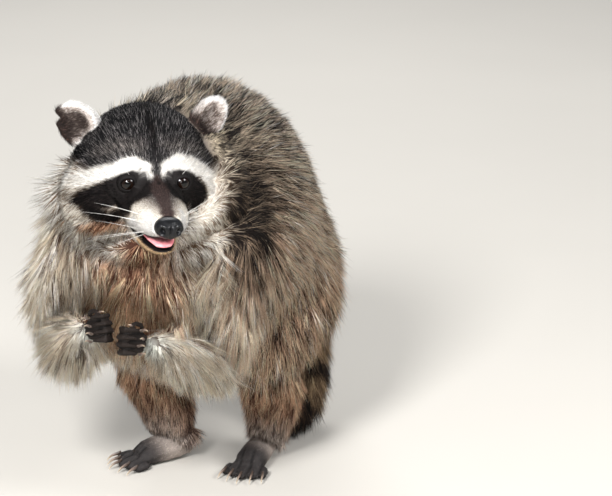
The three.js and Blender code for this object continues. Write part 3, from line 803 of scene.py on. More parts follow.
def tailShare(points):
    # nought at the root of the tail and one at its tip
    start = spot("rump", 0.5, 1.0, 0.45)
    path = np.array([start] + tailPath + [spot("tail_tip", 0.5, 0.0, 0.3)])
    steps = np.linalg.norm(np.diff(path, axis=0), axis=1)
    passed = np.concatenate([[0], np.cumsum(steps)])
    best, where = np.full(len(points), 1e9), np.zeros(len(points))
    for i, (a, b) in enumerate(zip(path[:-1], path[1:])):
        along = b - a
        t = np.clip((points - a) @ along / (along @ along), 0, 1)
        gap = np.linalg.norm(points - (a + t[:, None] * along), axis=1)
        closer = gap < best
        best = np.where(closer, gap, best)
        where = np.where(closer, passed[i] + t * steps[i], where)
    return where / passed[-1]


tailLook = dict(rings=5, start=0.6, pale=(0.35, 0.62), darkTip=(0.86, 0.92), root=(0.05, 0.16), ragged=0.012)


def tailPainted(points, base, share):
    along = tailShare(points) + tailLook["ragged"] * wobble(points / mm, 9)
    ring = 0.5 + 0.5 * np.cos(along * tailLook["rings"] * 2 * math.pi + tailLook["start"])
    pale = rise(ring, *tailLook["pale"]) * (1 - rise(along, *tailLook["darkTip"]))
    weight = share * rise(along, *tailLook["root"])
    return base + (moved(recipes["tailDark"], "tailPale", pale) - base) * weight[:, None]


def earAxes(node):
    # the middle of an ear, its directions along, across and out of the hollow, and its outline's reach
    points = trianglesOf(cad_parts[node].data)[0]
    middle = points.mean(0)
    _, vectors = np.linalg.eigh(np.cov((points - middle).T))
    along = vectors[:, 2] * np.sign(vectors[:, 2] @ faceZ)
    thin = vectors[:, 0] * np.sign(-(vectors[:, 0] @ faceY))
    axes = np.stack([along, np.cross(along, thin), thin], 1)
    local = (verts[labels == node] - middle) @ axes
    turn = np.arctan2(local[:, 1], local[:, 0])
    away = np.hypot(local[:, 0], local[:, 1])
    bins = np.linspace(-math.pi, math.pi, 61)
    reach = np.array([(away * (np.cos(turn - b) > 0.992)).max() for b in bins])
    return middle, axes, bins, reach, local[:, 0].min(), local[:, 0].max()


earShapes = {node: earAxes(node) for node in fleshNodes["ears"]}


# Each ear: how dark its hollow is, how much of the white rim is lost next to the crown, and on which side the
# crown lies. The zones are shares of the ear's reach and height, and "inner" is which way the skin faces.
earLook = {
    "ear_left": dict(hollow=0.5, lost=0.2, crown=-1),
    "ear_right": dict(hollow=0.85, lost=0.75, crown=1),
}
earZones = dict(
    inner=(-0.1, 0.35), hollow=(0.50, 0.76), ragged=0.1, foot=(0.20, 0.42),
    rim=(0.82, 0.90), lost=0.85, toCrown=(0.1, 0.7), crownWidth=14, top=(0.62, 0.85),
)


def earPainted(points, facing, base, pick, node):
    middle, axes, bins, reach, low, high = earShapes[node]
    local = (points[pick] - middle) @ axes
    turn = np.arctan2(local[:, 1], local[:, 0])
    edge = np.hypot(local[:, 0], local[:, 1]) / np.interp(turn, bins, reach)
    height = (local[:, 0] - low) / (high - low)
    inner = rise(facing[pick] @ axes[:, 2], *earZones["inner"])
    ragged = edge + earZones["ragged"] * wobble(points[pick] / mm, 5)
    hollow = inner * (1 - rise(ragged, *earZones["hollow"]))
    foot = 1 - rise(height, *earZones["foot"])
    # the white rim fades on the side next to the crown
    look = earLook[node]
    inward = (points[pick] - middle) @ faceX / (earZones["crownWidth"] * mm) * look["crown"]
    fade = earZones["lost"] * rise(inward, *earZones["toCrown"]) * (1 - rise(height, *earZones["top"]))
    out = moved(recipes["earBack"], "earInner", inner)
    out = moved(out, "earDark", hollow * look["hollow"])
    out = moved(out, "earDark", foot)
    out = moved(out, "earDark", fade * look["lost"])
    base[pick] = moved(out, "earRim", rise(edge, *earZones["rim"]) * (1 - foot) * (1 - fade))
    return base


baseRecipe = blurredOver(bodyRecipe(), 26)
headShare = np.where(face[:, 1] < 20, blurredOver(isHead, 3), blurredOver(isHead, 16))
# behind the right cheek and the crown the head's markings run on over the neck
runOver = dict(ruffEnd=(78, 124), ruffSide=(4, 26), crownEnd=(66, 104), crownSide=(16, 34), meet=(2, 20))
markEnd = face[:, 1] + 5 * wobble(face, 9)
above = rise(face[:, 2], *runOver["meet"])
ruffOn = (1 - rise(markEnd, *runOver["ruffEnd"])) * rise(-face[:, 0], *runOver["ruffSide"]) * (1 - above)
crownOn = (1 - rise(markEnd, *runOver["crownEnd"])) * above * (1 - rise(face[:, 0], *runOver["crownSide"]))
runsOn = np.maximum(ruffOn, crownOn) * np.isin(labels, ["head", "neck"])
headShare = np.where(face[:, 1] < 30, headShare, blurredOver(np.maximum(headShare, runsOn), 4))
tailWeight = blurredOver(called("tail"), 6)


def painted(points, facing, base, onHead, onTail, names):
    out = tailPainted(points, base, onTail)
    out = headPainted(toFace(points), out, onHead)
    for node in fleshNodes["ears"]:
        out = earPainted(points, facing, out, names == node, node)
    return out


# How strongly the tufts point each way: on the trunk to the back (and more where the skin faces up or down),
# down, away from the head, and out from the parting. For each limb, the nodes between which they run and how
# much they hang.
lieLook = {
    "back": (0.5, 0.6), "down": 1.05, "from head": 0.5, "fan": 0.95, "fan width": 60, "fan ahead": (0.1, 0.6),
    "neck": dict(fromHead=0.6, back=0.5, down=0.95, fan=0.6, top=(-0.1, 0.5), overTop=(0, 1.0, -0.15)),
    "behind cheek": dict(back=0.9, down=0.9, out=(24, 46)),
    "cheek": dict(out=(30, 62), low=(-15, 20), down=0.8, back=(0.15, 0.8)),  # back: the right, the left
    "lids": 2.0,
    "ear": dict(spread=0.5, width=18),
    "limbs": [("upper_arm", "upper_arm", "forearm", 0.8), ("forearm", "hand", "forearm", 2.2),
              ("thigh", "thigh", "shank", 0.6), ("shank", "shank", "foot", 0.5)],
}


def lie():
    # the way the tufts point, over the skin
    flow = np.zeros_like(verts)
    steep = np.abs(normals[:, 2])
    fromHead = unit(verts - onFace(0, 10, -6))
    back, onTop = lieLook["back"]
    flow[:, 1] = back + onTop * steep
    flow[:, 2] = -(lieLook["down"] - steep)
    flow += lieLook["from head"] * fromHead
    sideways = unit(np.array(shoulderLine["toward"]))
    fan = np.clip((verts @ sideways / mm - shoulderLine["parting"]) / lieLook["fan width"], -1, 1)
    fan *= np.isin(labels, ["neck", "chest"]) * rise(-normals[:, 1], *lieLook["fan ahead"])
    flow += lieLook["fan"] * fan[:, None] * sideways
    neck, look = labels == "neck", lieLook["neck"]
    top = rise(normals[neck, 2], *look["top"])[:, None]
    collar = look["fromHead"] * fromHead[neck] + look["back"] * faceY + np.array([0, 0, -look["down"]])
    cheek = lieLook["behind cheek"]
    drop = cheek["back"] * faceY + np.array([0, 0, -cheek["down"]])
    collar += (drop - collar) * rise(face[neck, 0], *cheek["out"])[:, None]
    flow[neck] = collar * (1 - top) + top * np.array(look["overTop"])
    flow[neck] += look["fan"] * fan[neck][:, None] * sideways
    away, look = unit(face - np.array(headCoat["from"])), lieLook["cheek"]
    cheek = rise(np.abs(face[:, 0]), *look["out"])
    away[:, 2] -= look["down"] * cheek * rise(-face[:, 2], *look["low"])
    away[:, 1] += np.where(face[:, 0] < 0, *look["back"]) * cheek
    flow[isHead] = (unit(away) @ faceAxes.T)[isHead]
    for side in ("left", "right"):
        for limb, a, b, hang in lieLook["limbs"]:
            way = unit(spot(b + "_" + side) - spot(a + "_" + side))
            flow[labels == limb + "_" + side] = way + np.array([0, 0, -hang])
        for paw in ("hand", "foot"):
            flow[labels == paw + "_" + side] = unit(clawMiddle(paw, side) - spot(paw + "_" + side))
        middle, axes = earShapes["ear_" + side][:2]
        ear = labels == "ear_" + side
        across = (verts[ear] - middle) @ axes[:, 1:2] / (lieLook["ear"]["width"] * mm)
        flow[ear] = axes[:, 0] + lieLook["ear"]["spread"] * across * axes[:, 1]
    flow[labels == "tail_base"] = unit(tailPath[1] - tailPath[0])
    flow[labels == "tail_middle"] = unit(tailPath[2] - tailPath[0])
    flow[labels == "tail_tip"] = unit(spot("tail_tip", 0.5, 0.0, 0.3) - tailPath[1])
    flow = unit(flow - normals * (flow * normals).sum(1)[:, None])
    flow = blurredOver(flow, 6)
    for side in (1, -1):
        share, radius, away = lidShare(verts, side)
        ring = (1 - rise(share, *lids["ring"])) * (radius < lids["ringReach"])
        flow += lieLook["lids"] * ring[:, None] * unit(away)
    return unit(flow - normals * (flow * normals).sum(1)[:, None])


pastCheek = dict(back=(26, 56), out=(20, 36), above=(-66, -50), length=9, more=11, moreFrom=(60, 76))


def besideFace():
    # one on the front of the neck where it shows past the left cheek
    front = (labels == "neck") * (1 - rise(face[:, 1], *pastCheek["back"]))
    return front * rise(face[:, 0], *pastCheek["out"]) * rise(face[:, 2], *pastCheek["above"])


# Where the coat shortens: for the limbs the share left at the paw, the share it gains and over which
# distances, and round the ears the same.
limbEnds = {"forearm": ("hand", 0.3, 0.8, (20, 46)), "shank": ("foot", 0.45, 0.6, (16, 60))}
byEar = (0.4, 0.6, (20, 38))


def lengthChanged(values, onHead):
    values[isHead] = onHead
    for side in ("left", "right"):
        for limb, (paw, least, gain, reach) in limbEnds.items():
            on = labels == limb + "_" + side
            values[on] *= least + gain * rise(gapTo(verts, spot(paw + "_" + side))[on], *reach)
    wish = pastCheek["length"] + pastCheek["more"] * rise(face[:, 0], *pastCheek["moreFrom"])
    values += (wish - values) * besideFace()
    least, gain, reach = byEar
    for node in fleshNodes["ears"]:
        values[~isEar] *= (least + gain * rise(gapTo(verts, earShapes[node][0]), *reach))[~isEar]


def liftChanged(values, onHead):
    values[isHead] = 27 + 5 * rise(onHead, 6, 14) + 14 * behindCheek(face[isHead])
    arm = called("forearm")
    values[arm] *= (1 - 0.7 * rise(normals[:, 2], 0.0, 0.6))[arm]


def widthChanged(values, onHead):
    values[isHead] = 0.30 + 0.34 * rise(onHead, 4, 20)


def clumpChanged(values, onHead):
    values[isHead] = 0.12 + 0.25 * rise(onHead, 5, 16)


def coatField(key, change, rounds=10):
    # one of the coat's measures over the skin, soft between nodes but sharp on the face, ears and paws
    values = np.array([coatKinds[kindOf(n)][key] for n in labels], float)
    change(values, headLength(face[isHead]))
    hard = isPaw | (isHead & (face[:, 1] < 0)) | isEar
    return np.where(hard, values, blurredOver(values, rounds))


flow = lie()
lengths = coatField("length", lengthChanged)
fields = np.column_stack([
    verts, normals, flow, lengths, coatField("lift", liftChanged), coatField("width", widthChanged),
    coatField("clump", clumpChanged), headShare, tailWeight, baseRecipe])
print("raccoon: coat lie and markings ready")

# The pieces of the coat: the nodes they grow on, how many tufts, how many of them share a clump, and the
# part of the head by the length of its coat (under, over) and by how far back it lies (front, behind).
coatPieces = {
    "coat_face": dict(nodes=fleshNodes["head"], tufts=46000, under=14, front=34, slot="face_coat"),
    "coat_crown": dict(nodes=fleshNodes["head"], tufts=40000, under=14, behind=34, slot="face_coat"),
    "coat_ruff": dict(nodes=fleshNodes["head"], tufts=15000, over=14, slot="face_coat"),
    "coat_ears": dict(nodes=fleshNodes["ears"], tufts=12000, slot="ear_coat"),
    "coat_neck": dict(nodes=["neck"], tufts=34000, clump=6, slot="neck_coat"),
    "coat_chest": dict(nodes=["chest"], tufts=49000, clump=13, slot="chest_coat"),
    "coat_flank": dict(nodes=["belly"], tufts=36000, slot="back_coat"),
    "coat_rump": dict(nodes=["rump"], tufts=45000, slot="back_coat"),
    "coat_arm_left": dict(nodes=["upper_arm_left", "forearm_left"], tufts=21000, clump=12,
                          slot="leg_coat"),
    "coat_arm_right": dict(nodes=["upper_arm_right", "forearm_right"], tufts=21000, clump=12,
                           slot="leg_coat"),
    "coat_leg_left": dict(nodes=["thigh_left", "shank_left"], tufts=16000, slot="leg_coat"),
    "coat_leg_right": dict(nodes=["thigh_right", "shank_right"], tufts=16000, slot="leg_coat"),
    "coat_tail": dict(nodes=["tail_base", "tail_middle", "tail_tip"], tufts=14000, slot="tail_coat"),
    "coat_paws": dict(nodes=fleshNodes["paws"], tufts=11000, slot="paw_skin"),
}
coatLook = {
    "root depth": 0.5,
    "lengths": (0.72, 1.12),  # the shortest and longest tufts, as shares of the length at their place
    "widths": (0.8, 1.25),
    "lift": 5.0,  # how unevenly the tufts lift
    "turn": 9.0,  # how far a tuft strays from the lie
    "bend": 0.45,  # the second half's lift as a share of the first half's
    "droop": 0.22,
    "droop from": (14, 34),
    "per clump": 5,
    "clump turn": 12.0,
    "clumps from": (3, 12),  # the lengths between which tufts come to lean in clumps
    "curl": 0.16,
    "follow": 0.25,  # how far the tips of a clump keep the distances of their roots
    "loose": 0.06,  # the share of tufts that hardly belong to a clump and stand a little further out
    "loose length": 1.15,
    "loose lift": 9.0,
    "loose hold": 0.2,
    "shown": 0.45,  # where along a tuft its marking is taken
    "shared pick": 0.84,  # how often the tufts of one clump share a tint
    "shared on head": 0.4,  # the part of that on the head
    "shade": 0.26,
    "clump shade": 0.24,
    "tips": (1.06, 0.85),  # how bright the tips of light and dark tufts are
    "patch": 0.003,  # the side of a tuft's own square on the map
    "bare": 1.12,  # how far round the nose and mouth no tufts grow, as a share of their size
    "floor": 0.3,  # the lowest place of a tip
}


def octahedral(directions):
    # spreads all directions over a square
    d = directions / np.maximum(np.abs(directions).sum(1, keepdims=True), 1e-12)
    u, v = d[:, 0].copy(), d[:, 1].copy()
    low = d[:, 2] < 0
    fu = (1 - np.abs(v)) * np.where(u >= 0, 1, -1)
    fv = (1 - np.abs(u)) * np.where(v >= 0, 1, -1)
    u[low], v[low] = fu[low], fv[low]
    return np.column_stack([u, v]) * 0.5 + 0.5


def whereItGrows(name, plan):
    # the weight of each triangle of the skin for this piece
    corner = verts[tris]
    areas = np.linalg.norm(np.cross(corner[:, 1] - corner[:, 0], corner[:, 2] - corner[:, 0]), axis=1) / 2
    triLabels = labels[tris[:, 0]]
    triLength = lengths[tris].mean(1)
    pick = np.isin(triLabels, plan["nodes"])
    pick &= (triLength < plan.get("under", 1e9)) & (triLength >= plan.get("over", 0))
    middle = corner.mean(1)
    back = toFace(middle)[:, 1]
    pick &= (back < plan.get("front", 1e9)) & (back >= plan.get("behind", -1e9))
    for side in (1, -1):
        share, radius, _ = lidShare(middle, side)
        pick &= ~((share < lids["bare"]) & (radius < lids["bareReach"]))
    nose = np.linalg.norm((toFace(middle) - noseAt) / noseHalf, axis=1)
    pick &= (nose > coatLook["bare"]) & (mouthShare(middle) > coatLook["bare"])
    weight = areas * pick
    for node in plan["nodes"]:
        weight[triLabels == node] *= coatKinds[kindOf(node)]["crowd"]
    if name == "coat_face":
        weight *= 1 / np.clip(triLength, 2.5, 12)
    return weight, triLabels


def leadersOf(root, length, perClump):
    # the tuft that leads each tuft's clump
    count = len(root)
    leaders = rng.choice(count, max(count // perClump, 1), replace=False)
    stray = root + rng.normal(0, 1, root.shape) * (length * 0.02 * mm)[:, None]
    return leaders[nearestIn(root[leaders], stray)]


def grow(name, plan):
    weight, triLabels = whereItGrows(name, plan)
    total = np.cumsum(weight)
    count = plan["tufts"]
    chosen = np.searchsorted(total, (np.arange(count) + rng.random(count)) / count * total[-1])
    chosen = np.minimum(chosen, len(tris) - 1)
    u, v = rng.random(count), rng.random(count)
    over = u + v > 1
    u[over], v[over] = 1 - u[over], 1 - v[over]
    bary = np.column_stack([1 - u - v, u, v])
    row = np.einsum("ij,ijk->ik", bary, fields[tris[chosen]])
    root, n, f = row[:, 0:3], unit(row[:, 3:6]), row[:, 6:9]
    length, lift, width, clump, head, tail = (row[:, k] for k in range(9, 15))
    base = row[:, 15:25]
    f = unit(f - n * (f * n).sum(1)[:, None])
    leader = leadersOf(root, length, plan.get("clump", coatLook["per clump"]))
    loose = rng.random(count) < coatLook["loose"]
    length = length * rng.uniform(*coatLook["lengths"], count) * np.where(loose, coatLook["loose length"], 1)
    lift = lift + rng.normal(0, coatLook["lift"], count) + np.where(loose, coatLook["loose lift"], 0)
    lift = np.radians(lift)
    # tufts of a clump lean, turn and end together
    wild = rise(length, *coatLook["clumps from"])
    turn = rng.normal(0, coatLook["turn"], count)
    turn = np.radians(turn + wild * rng.normal(0, coatLook["clump turn"], count)[leader])
    side = np.cross(n, f)
    f = f * np.cos(turn)[:, None] + side * np.sin(turn)[:, None]
    first = f * np.cos(lift)[:, None] + n * np.sin(lift)[:, None]
    lower = lift * coatLook["bend"]
    second = f * np.cos(lower)[:, None] + n * np.sin(lower)[:, None]
    second += side * (wild * rng.normal(0, coatLook["curl"], count)[leader])[:, None]
    second[:, 2] -= coatLook["droop"] * rise(length, *coatLook["droop from"])
    start = root - n * coatLook["root depth"] * mm
    half = start + first * (length * 0.5 * mm)[:, None]
    tip = half + unit(second) * (length * 0.5 * mm)[:, None]
    hold = (clump * np.where(loose, coatLook["loose hold"], 1))[:, None]
    tip = tip + (tip[leader] + coatLook["follow"] * (root - root[leader]) - tip) * hold
    tip[:, 2] = np.maximum(tip[:, 2], coatLook["floor"] * mm)
    # markings sit where the tuft shows, halfway along it
    stray = rng.normal(0, 1, root.shape) * ((0.7 + 0.05 * length) * mm)[:, None]
    shown = root + f * (length * coatLook["shown"] * mm)[:, None] + stray
    paint = painted(shown, n, base, head, tail, triLabels[chosen])
    rootTint, tipTint = tuftTints(paint, length, head, leader)
    width = width * rng.uniform(*coatLook["widths"], count)
    buildTufts(name, plan, start, tip, n, width, rootTint, tipTint)


def tuftTints(paint, length, head, leader):
    # the tints at the root and the tip of each tuft; the roots, darker the longer the tuft, are partly the
    # darker underfur and partly painted shade between the locks
    count = len(length)
    luck = rng.random(count)
    shared = rng.random(count)[leader]
    alike = coatLook["shared pick"] * np.where(head > 0.5, coatLook["shared on head"], 1)
    luck = np.where(rng.random(count) < alike, shared, luck)
    light = (luck < paint[:, 9])[:, None]
    patch = rng.normal(0, coatLook["clump shade"], count)[leader] * (0.4 + 1.1 * rise(length, 8, 22))
    shade = np.exp(rng.normal(0, coatLook["shade"], count) + patch)[:, None]
    tint = np.where(light, paint[:, 0:3], paint[:, 3:6]) * shade
    deep = paint[:, 6:9] * (0.55 + 0.45 * rise(1 - length / 14, -0.5, 0.8))[:, None]
    own = (0.55 - 0.27 * rise(length, 8, 20))[:, None]
    return tint * own + deep * (1 - own), tint * np.where(light, *coatLook["tips"])


def buildTufts(name, plan, start, tip, n, width, rootTint, tipTint):
    # each tuft is a closed three-sided spike
    count = len(start)
    side = unit(np.cross(unit(tip - start), n))
    up = np.cross(side, unit(tip - start))
    w = (width * mm)[:, None]
    spread = [side * w * 0.5 - up * w * 0.14, -side * w * 0.5 - up * w * 0.14, up * w * 0.30]
    points = np.stack([start + s for s in spread] + [tip], 1)
    colours = np.stack([rootTint] * 3 + [tipTint], 1)
    patch = np.array([(0.1, 0), (0.9, 0), (0.5, 0), (0.5, 1)])
    local = np.array([(0, 1, 2), (0, 3, 1), (1, 3, 2), (2, 3, 0)])
    faces = (local[None] + (np.arange(count) * len(patch))[:, None, None]).reshape(-1, 3)
    obj = newObject(name, points.reshape(-1, 3), faces)
    paintPiece(obj, colours.reshape(-1, 3))
    uv = 0.004 + 0.990 * octahedral(start - start.mean(0))
    cornerUv = uv[:, None, :] + (patch[None] - 0.5) * coatLook["patch"]
    addMap(obj, cornerUv[:, local.ravel()])
    finished(obj, coatMaterial(plan["slot"]), plan["slot"])
    print("  ", name, len(faces), "triangles")


def newMaterial(name, roughness, specular=0.5, coat=0.0):
    material = bpy.data.materials.new(name)
    material.use_nodes = True
    tree = material.node_tree
    shader = tree.nodes["Principled BSDF"]
    shader.inputs["Roughness"].default_value = roughness
    shader.inputs["Specular IOR Level"].default_value = specular
    shader.inputs["Coat Weight"].default_value = coat
    return material, tree, shader


def addNode(tree, kind, values=None, **settings):
    node = tree.nodes.new(kind)
    for key, value in settings.items():
        setattr(node, key, value)
    for key, value in (values or {}).items():
        node.inputs[key].default_value = value
    return node


def addNoise(tree, scale, detail=3.0, stretch=None, kind="ShaderNodeTexNoise"):
    # noise set in the object's own space
    place = addNode(tree, "ShaderNodeTexCoord")
    source = place.outputs["Object"]
    if stretch:
        mapping = addNode(tree, "ShaderNodeMapping", {"Scale": stretch})
        tree.links.new(source, mapping.inputs["Vector"])
        source = mapping.outputs["Vector"]
    noise = addNode(tree, kind, {"Scale": scale})
    if kind == "ShaderNodeTexNoise":
        noise.inputs["Detail"].default_value = detail
    tree.links.new(source, noise.inputs["Vector"])
    return noise


def addRamp(tree, source, stops):
    ramp = addNode(tree, "ShaderNodeValToRGB")
    elements = ramp.color_ramp.elements
    while len(elements) < len(stops):
        elements.new(0.5)
    for element, (place, colour) in zip(elements, stops):
        element.position = place
        element.color = (*colour, 1)
    tree.links.new(source, ramp.inputs["Fac"])
    return ramp.outputs["Color"]


def multiplied(tree, first, second):
    mix = addNode(tree, "ShaderNodeMix", {"Factor": 1.0}, data_type="RGBA", blend_type="MULTIPLY")
    colours = [socket for socket in mix.inputs if socket.type == "RGBA"]
    tree.links.new(first, colours[0])
    tree.links.new(second, colours[1])
    return next(socket for socket in mix.outputs if socket.type == "RGBA")


def mottled(tree, shader, scale, low, high):
    # the colour wanders softly between two tints
    noise = addNoise(tree, scale)
    colour = addRamp(tree, noise.outputs["Fac"], [(0.3, low), (0.7, high)])
    tree.links.new(colour, shader.inputs["Base Color"])


def addBump(tree, shader, height, strength, distance):
    bump = addNode(tree, "ShaderNodeBump", {"Strength": strength, "Distance": distance * mm})
    tree.links.new(height, bump.inputs["Height"])
    tree.links.new(bump.outputs["Normal"], shader.inputs["Normal"])


def tintedMaterial(name, roughness, specular, noiseScale, low, high, bump=None):
    # takes its colour from the piece's own markings, with fine streaks of noise over them
    material, tree, shader = newMaterial(name, roughness, specular)
    tint = addNode(tree, "ShaderNodeVertexColor", layer_name="tint")
    noise = addNoise(tree, noiseScale)
    streaks = addRamp(tree, noise.outputs["Fac"], [(0.25, (low,) * 3), (0.75, (high,) * 3)])
    tree.links.new(multiplied(tree, tint.outputs["Color"], streaks), shader.inputs["Base Color"])
    if bump:
        fine = addNoise(tree, bump["scale"], 4.0)
        addBump(tree, shader, fine.outputs["Fac"], bump["strength"], bump["height"])
    return material


materials = {}
hairLook = dict(roughness=0.72, specular=0.2, faceSpecular=0.08, streaks=420, low=0.80, high=1.16)


def coatMaterial(slotName):
    if slotName not in materials:
        specular = hairLook["faceSpecular" if slotName == "face_coat" else "specular"]
        materials[slotName] = tintedMaterial(slotName, hairLook["roughness"], specular, hairLook["streaks"],
                                             hairLook["low"], hairLook["high"])
    return materials[slotName]


def paintPiece(obj, tints):
    rgba = np.ones((len(obj.data.vertices), 4), np.float32)
    rgba[:, :3] = np.clip(tints, 0, 1)
    layer = obj.data.color_attributes.new("tint", "FLOAT_COLOR", "POINT")
    layer.data.foreach_set("color", rgba.ravel())


def addReach(obj, values):
    layer = obj.data.attributes.new("reach", "FLOAT", "POINT")
    layer.data.foreach_set("value", np.asarray(values, np.float32))


def addMap(obj, uv):
    layer = obj.data.uv_layers.new(name="OFBake")
    layer.data.foreach_set("uv", uv.astype(np.float32).ravel())


def unwrapped(corners, centre, axes, widest, small):
    # an octahedral unwrap about a centre; a face that crosses a fold shrinks to its own middle
    uv = octahedral((corners.reshape(-1, 3) - centre) @ axes).reshape(-1, 3, 2)
    middle = octahedral((corners.mean(1) - centre) @ axes)
    wide = np.abs(uv - middle[:, None]).max((1, 2)) > widest
    uv[wide] = middle[wide][:, None] + small * np.array([(-1, -1), (1, -1), (0, 1)])
    return uv


def sphereUv(obj, centre, axes=np.eye(3)):
    points, _ = trianglesOf(obj.data)
    index = np.empty(len(obj.data.loops), np.int32)
    obj.data.loops.foreach_get("vertex_index", index)
    addMap(obj, 0.01 + 0.98 * unwrapped(points[index].reshape(-1, 3, 3), centre, axes, 0.12, 0.001))


def finished(obj, material, slotName, *nodes):
    obj.data.materials.append(material)
    if nodes:
        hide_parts(*nodes)
    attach(obj, "root")


# The skin is darker than its coat; "roots" is how dark it gets under long coat, partly painted shade, and
# "grooves" is the painted shade between the fingers and toes.
skinLook = dict(
    roughness=0.7, specular=0.16, darken=0.8, roots=0.7, grooves=0.75, rims="0F0C0C",
    streaks=900, low=0.75, high=1.15, bump=dict(scale=1500, strength=0.35, height=0.5),
)


def makeSkin():
    rings = lidRings()
    whole = joinedParts([(verts, tris)] + rings)
    obj = newObject("skin", *whole)
    paint = painted(verts, normals, baseRecipe, headShare, tailWeight, labels)
    share = np.clip(paint[:, 9:10], 0, 1)
    tint = (paint[:, 0:3] * share + paint[:, 3:6] * (1 - share)) * skinLook["darken"]
    # where the coat is long the skin goes towards the darker root tint: partly the underfur's colour, partly
    # painted shade deep in the coat
    tint = tint + (paint[:, 6:9] * skinLook["roots"] - tint) * rise(lengths, 5, 14)[:, None]
    # painted shade in the grooves between the fingers and toes
    tint = tint * (1 - skinLook["grooves"] * grooves)[:, None]
    lidTint = np.tile(ink(skinLook["rims"]), (sum(len(v) for v, _ in rings), 1))
    paintPiece(obj, np.concatenate([tint, lidTint]))
    # an unwrap with a square of its own for every part of the body
    names = np.concatenate([labels, ["head"] * len(lidTint)])
    corners = whole[0][whole[1]]
    triNames = names[whole[1][:, 0]]
    uv = np.zeros((len(whole[1]), 3, 2))
    side = math.ceil(math.sqrt(len(allFlesh)))
    for i, node in enumerate(allFlesh):
        pick = triNames == node
        if not pick.any():
            continue
        centre = corners[pick].reshape(-1, 3).mean(0)
        local = unwrapped(corners[pick], centre, np.eye(3), 0.15, 0.002)
        uv[pick] = (np.array([i % side, i // side]) + 0.02 + 0.96 * local) / side
    addMap(obj, uv)
    material = tintedMaterial("skin_under_coat", skinLook["roughness"], skinLook["specular"],
                              skinLook["streaks"], skinLook["low"], skinLook["high"], skinLook["bump"])
    finished(obj, material, "paw_skin", *allFlesh)


makeSkin()
print("raccoon: skin made")
for name, plan in coatPieces.items():
    grow(name, plan)
print("raccoon: coat grown")

eyeLook = dict(
    pupil=18, iris=38, edge=47, ragged=0.05, bulge=0.045, bulgeEnd=44, roughness=0.04, specular=0.32,
    sides=64, fine=(60, 40), back=(178, 24),  # how far the rings of the front and the back go, and how many
    tints=("050404", "060505", "150A05", "140A06", "0A0605", "060505"),  # from the pupil outwards
)


def makeEye(side, node):
    centre, across, up, out = eyeFrame(side)
    low, high = (np.array(c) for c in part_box(node))
    radius = (high - low).mean() / 2
    (rim, near), (end, far), sides = eyeLook["fine"], eyeLook["back"], eyeLook["sides"]
    polar = np.radians(np.concatenate([np.linspace(0, rim, near)[1:], np.linspace(rim, end, far)[1:]]))
    turn = np.linspace(0, 2 * math.pi, sides, endpoint=False)
    rows = [centre + out * radius * (1 + eyeLook["bulge"])]
    reach = [0.0]
    for a in polar:
        bulge = 1 + eyeLook["bulge"] * max(math.cos(min(a * 90 / eyeLook["bulgeEnd"], math.pi / 2)), 0)
        for t in turn:
            ray = math.cos(a) * out + math.sin(a) * (math.cos(t) * across + math.sin(t) * up)
            rows.append(centre + ray * radius * bulge)
            reach.append(math.degrees(a))
    faces = [(0, 1 + j, 1 + (j + 1) % sides) for j in range(sides)]
    faces += [f for a, b, c, d in cells(len(polar) - 1, sides, 1) for f in ((a, c, d), (a, d, b))]
    last = 1 + (len(polar) - 1) * sides
    rows.append(centre - out * radius)
    reach.append(180.0)
    faces += [(len(rows) - 1, last + (j + 1) % sides, last + j) for j in range(sides)]
    faces = np.array(faces)
    points = np.array(rows)
    corner = points[faces]
    facing = np.cross(corner[:, 1] - corner[:, 0], corner[:, 2] - corner[:, 0])
    if np.mean((facing * (corner.mean(1) - centre)).sum(1)) < 0:
        faces = faces[:, ::-1]
    obj = newObject(node + "_ball", points, faces)
    sphereUv(obj, centre, np.stack([across, up, out], 1))
    addReach(obj, np.array(reach, np.float32) / 90)
    finished(obj, eyeMaterial(), "eye", node)


def eyeMaterial():
    if "eye" in materials:
        return materials["eye"]
    material, tree, shader = newMaterial("eye_ball", eyeLook["roughness"], eyeLook["specular"])
    reach = addNode(tree, "ShaderNodeAttribute", attribute_name="reach")
    noise = addNoise(tree, 1800, 4.0)
    wave = addNode(tree, "ShaderNodeMath", {1: eyeLook["ragged"]}, operation="MULTIPLY")
    tree.links.new(noise.outputs["Fac"], wave.inputs[0])
    total = addNode(tree, "ShaderNodeMath", operation="ADD")
    tree.links.new(reach.outputs["Fac"], total.inputs[0])
    tree.links.new(wave.outputs[0], total.inputs[1])
    pupil, iris, edge = (eyeLook[k] / 90 + eyeLook["ragged"] / 2 for k in ("pupil", "iris", "edge"))
    places = (0.0, pupil, pupil + 0.03, iris - 0.08, iris, edge)
    colour = addRamp(tree, total.outputs[0], [(at, ink(t)) for at, t in zip(places, eyeLook["tints"])])
    tree.links.new(colour, shader.inputs["Base Color"])
    materials["eye"] = material
    return material


makeEye(1, "eye_left")
makeEye(-1, "eye_right")

noseLook = dict(
    grow=1.06, square=0.88, narrow=0.26, narrowing=1.3, thin=0.10,
    nostril=(0.52, -0.74, -0.06), nostrilSize=0.23, nostrilDepth=3.4, wing=0.7, wingAt=1.9, wingSize=0.16,
    slit=(0.86, -0.42, -0.22), slitSize=0.15, slitDepth=1.5, groove=0.9, grooveSize=0.055,
    roughness=0.3, specular=0.3, tints=("060607", "141417"), mottle=260, cells=1100, bump=0.35,
)


